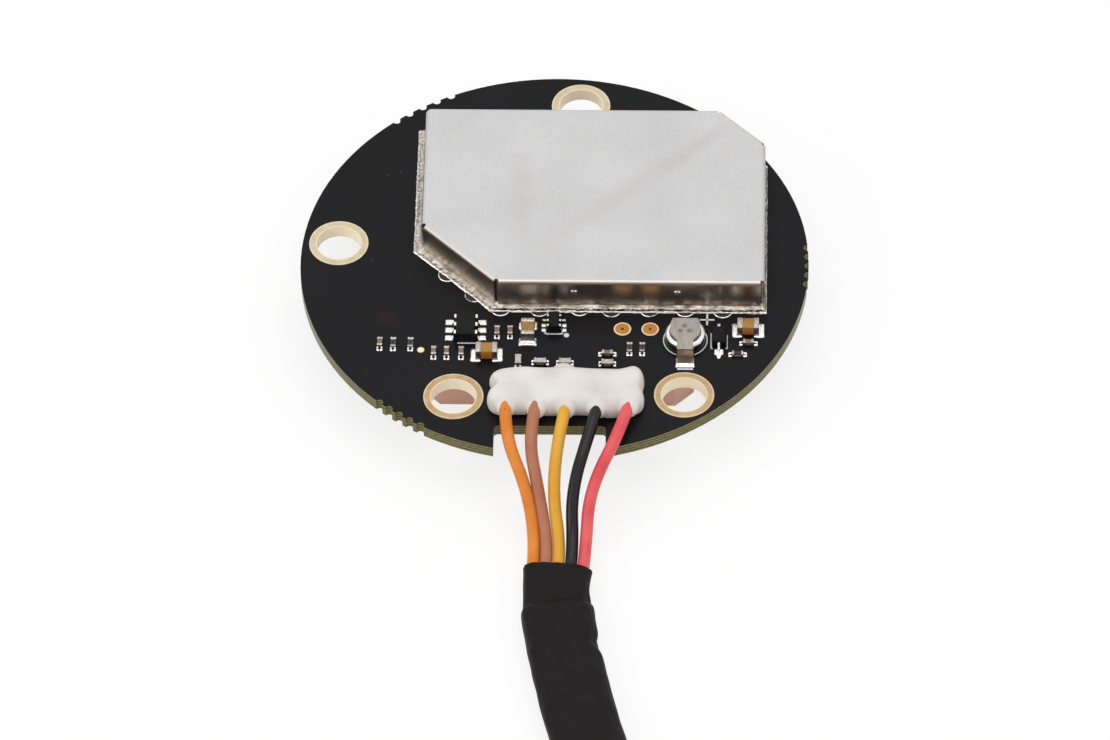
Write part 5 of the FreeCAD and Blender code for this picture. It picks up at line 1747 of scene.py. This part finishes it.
# ---- silicone -------------------------------------------------------------------------------
def rounded_loop(points, steps=5):
    """A smooth closed line through points, which may carry more values than their place."""
    count = len(points)
    line = []
    for number in range(count):
        a, b, c, d = (Vector(points[(number + k) % count]) for k in (-1, 0, 1, 2))
        for step in range(steps):
            t = step / steps
            line.append(
                0.5 * (2 * b + (c - a) * t + (2 * a - 5 * b + 4 * c - d) * t**2
                       + (3 * b - a - 3 * c + d) * t**3)
            )
    return line


def build_silicone(finishes):
    """The potting: one wet bar with round shoulders, that has crept up over each wire."""
    board_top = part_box("pcb_board")[1].z
    foot = rounded_loop(SILICONE_FOOT)
    count = len(foot)
    vertices = []
    for share, level in SILICONE_SIDE:
        for number, point in enumerate(foot):
            before, after = foot[number - 1], foot[(number + 1) % count]
            way = Vector((after.x - before.x, after.y - before.y)).normalized()
            # The foot runs clockwise, so its inside lies to the right.
            inward = Vector((way.y, -way.x)) * point.z * share
            vertices.append(
                Vector((point.x + inward.x, point.y + inward.y, SILICONE_HEIGHT * level)) * MM
                + Vector((0, 0, board_top))
            )
    faces = []
    for ring in range(len(SILICONE_SIDE) - 1):
        for number in range(count):
            a = ring * count + number
            b = ring * count + (number + 1) % count
            faces.append((a, b, b + count, a + count))
    faces.append(tuple(range(count)))
    faces.append(tuple(range(len(vertices) - count, len(vertices))))
    bar = mesh_piece("silicone_bar", vertices, faces)
    bm = bmesh.new()
    bm.from_mesh(bar.data)
    bpy.data.objects.remove(bar)
    bmesh.ops.triangulate(bm, faces=bm.faces)
    # The tongue, and a collar over each wire.
    swells = [TONGUE]
    for route in FAN_ROUTES.values():
        line = followed([Vector(point) for point in route])
        for back, drop, half in COLLAR:
            spot = min(line, key=lambda point: abs(point.y - (SILICONE_EXIT_Y + back) * MM)) / MM
            swells.append(((spot.x, spot.y, spot.z - board_top / MM - drop), half))
    for middle, half in swells:
        place = Matrix.Translation(Vector(middle) * MM + Vector((0, 0, board_top)))
        size = Matrix.Diagonal((*(Vector(half) * MM), 1))
        bmesh.ops.create_icosphere(bm, subdivisions=4, radius=1.0, matrix=place @ size)
    rough = from_bmesh("silicone_bar", bm)
    remesh = rough.modifiers.new("melt", "REMESH")
    remesh.mode = "VOXEL"
    remesh.voxel_size = 0.11 * MM
    relax = rough.modifiers.new("relax", "SMOOTH")
    relax.factor = 0.6
    relax.iterations = 12
    made = baked(rough, "silicone_bead")
    for vertex in made.data.vertices:
        point = vertex.co
        swell = noise.noise(point * per_mm(3.0)) * 0.16 + noise.noise(point * per_mm(1.1)) * 0.035
        point += vertex.normal * swell * MM
        point.z = max(point.z, board_top)
    smooth(made, 80)
    piece(made, finishes["silicone"], stands_for=["silicone_potting"])


# ---- CAD nodes that keep their shape ----------------------------------------------------------
def dress(finishes):
    """Gives every CAD node that stays its own finish."""
    for node, finish in (
        ("pcb_board", "board"),
        ("mounting_hole_platings", "gold"),
        ("gold_test_pads", "pad_gold"),
        ("shield_lid", "lid"),
        ("shield_frame", "fence"),
        ("antenna_ceramic", "antenna"),
        ("antenna_patch_electrode", "silver"),
        ("antenna_ground_electrode", "silver"),
        ("antenna_adhesive_pad", "tape"),
        ("antenna_feed_pin", "plating"),
        ("antenna_feed_solder", "solder"),
        ("voltage_regulator_body", "compound"),
        ("voltage_regulator_legs", "leg"),
        ("signal_buffer_body", "compound"),
        ("signal_buffer_legs", "leg"),
        ("charging_diode_body", "compound"),
        ("charging_diode_legs", "solder"),
        ("radio_chip_body", "compound"),
        ("radio_chip_terminals", "plating"),
        ("memory_chip", "compound"),
        ("oscillator_base", "pale_ceramic"),
        ("oscillator_cap", "cell"),
        ("band_filters", "compound"),
        ("low_noise_amplifier", "compound"),
        ("clock_crystal_base", "pale_ceramic"),
        ("clock_crystal_cap", "cell"),
        ("backup_cell_can", "rim"),
        ("backup_cell_gasket", "gasket"),
        ("backup_cell_cap", "cell"),
        ("backup_cell_top_strap", "strap"),
        ("backup_cell_bottom_strap", "cell"),
        ("wire_ends", "strands"),
        ("wire_solder_joints", "solder"),
        ("plug_housing", "nylon"),
        ("plug_contacts", "contact"),
    ):
        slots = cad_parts[node].data.materials
        slots.clear()
        slots.append(finishes[finish])


def make_finishes():
    """Each finish, made once, by the name that the pieces ask for."""
    return {
        "board": soldermask_laminate(),
        "gold": plated_gold(),
        "pad_gold": bare_gold_pad(),
        "lid": tinned_sheet(),
        "fence": shaded_frame_sheet(),
        "solder": reflowed_solder(),
        "bump": masked_bump(),
        "leg": trimmed_lead(),
        "land": hand_solder(),
        "plating": tinned_end(),
        "large_ceramic": fired_ceramic(
            "x5r_tan_ceramic", "#93692c", "#ab7e3c", 0.5, 0.45, "#b4712a"
        ),
        "small_ceramic": fired_ceramic("x7r_brown_ceramic", "#6e5f50", "#857363", 0.3, 0.45),
        "pale_ceramic": fired_ceramic("pale_alumina", "#b3aaa4", "#cdc6c1", 0.3, 0.5, "#8f7d70"),
        "antenna": fired_ceramic("dielectric_antenna_ceramic", "#f3bfa8", "#facab4", 0.25, 0.6),
        "lacquer": resistor_glaze(),
        "compound": moulding_compound(),
        "cell": cell_steel(),
        "rim": polished_rim(),
        "strap": welded_strap(),
        "gasket": nylon_gasket(),
        "silicone": white_silicone(),
        "orange": wire_insulation("orange_insulation", "#d8771c", "#e58d35", scorch=SCORCH),
        "brown": wire_insulation("brown_insulation", "#a9654d", "#bb7d5d"),
        "yellow": wire_insulation("yellow_insulation", "#db9a2a", "#e9ae37"),
        "black": wire_insulation("black_insulation", "#131111", "#1d1a1a", 0.22),
        "red": wire_insulation("red_insulation", "#db464d", "#ee6768"),
        "sleeve": shrunk_sleeve(),
        "nylon": nylon_housing(),
        "contact": stamped_contact(),
        "silver": silver_paste(),
        "tape": foam_tape(),
        "strands": tinned_strands(),
        "ink": silkscreen_ink(),
    }


# ---- studio ---------------------------------------------------------------------------------
def set_camera():
    """The camera, at its distance and angles from the point that it aims at."""
    camera = bpy.data.cameras.new("camera")
    camera.sensor_width = 36
    camera.lens = CAMERA_LENS
    camera.clip_start = 0.01
    camera.clip_end = 20
    holder = new_object("camera", camera)
    turn = (
        Matrix.Rotation(math.radians(CAMERA_YAW), 4, "Z")
        @ Matrix.Rotation(math.radians(90 - CAMERA_ELEVATION), 4, "X")
        @ Matrix.Rotation(math.radians(CAMERA_ROLL), 4, "Z")
    )
    aim = Vector(CAMERA_AIM) * MM
    back = turn.to_3x3() @ Vector((0, 0, CAMERA_DISTANCE * MM))
    holder.matrix_world = Matrix.Translation(aim + back) @ turn
    bpy.context.scene.camera = holder


def area_light(name, place, aim, size, power, colour="#ffffff"):
    """A rectangular softbox at a place, aimed at a point."""
    light = bpy.data.lights.new(name, "AREA")
    light.shape = "RECTANGLE"
    light.size, light.size_y = size
    light.energy = power
    light.color = linear(colour)[:3]
    holder = new_object(name, light)
    way = Vector(aim) - Vector(place)
    holder.matrix_world = (
        Matrix.Translation(Vector(place)) @ way.to_track_quat("-Z", "Y").to_matrix().to_4x4()
    )


def set_studio():
    """The white sweep, the even light from all sides and the two softboxes."""
    # The floor lies just under the part, so that the two never share a face.
    below = -0.02 * MM
    plan = ((-4, -4), (4, -4), (4, 4), (-4, 4))
    floor = mesh_piece("floor", [(x, y, below) for x, y in plan], [(0, 1, 2, 3)])
    floor.data.materials.append(studio_floor())
    world = bpy.data.worlds.new("studio_air")
    bpy.context.scene.world = world
    world.use_nodes = True
    tree = world.node_tree
    tree.nodes.clear()
    # Plain light from all sides; what the camera sees past the floor is white.
    air = add(tree, "Background", {"Color": "#ffffff", "Strength": 0.74})
    seen = add(tree, "Background", {"Color": "#ffffff", "Strength": 1.0})
    both = add(tree, "MixShader", {0: unlit_share(tree), 1: air, 2: seen})
    add(tree, "OutputWorld", {"Surface": both})
    area_light("overhead_softbox", (0.05, 0.1, 0.9), (0, 0, 0), (0.9, 0.7), 2.2)
    area_light("left_softbox", (-0.8, -0.3, 0.55), (0, 0, 0), (0.5, 0.5), 1.3)
    scene = bpy.context.scene
    scene.view_settings.view_transform = "Standard"


COPIES = copies_tree()
set_camera()
set_studio()
FINISHES = make_finishes()
build_lead(FINISHES)
dress(FINISHES)
build_shield(FINISHES)
build_chip_parts(FINISHES)
build_solder(FINISHES)
build_cell_pad(FINISHES)
build_legend(FINISHES)
build_silicone(FINISHES)
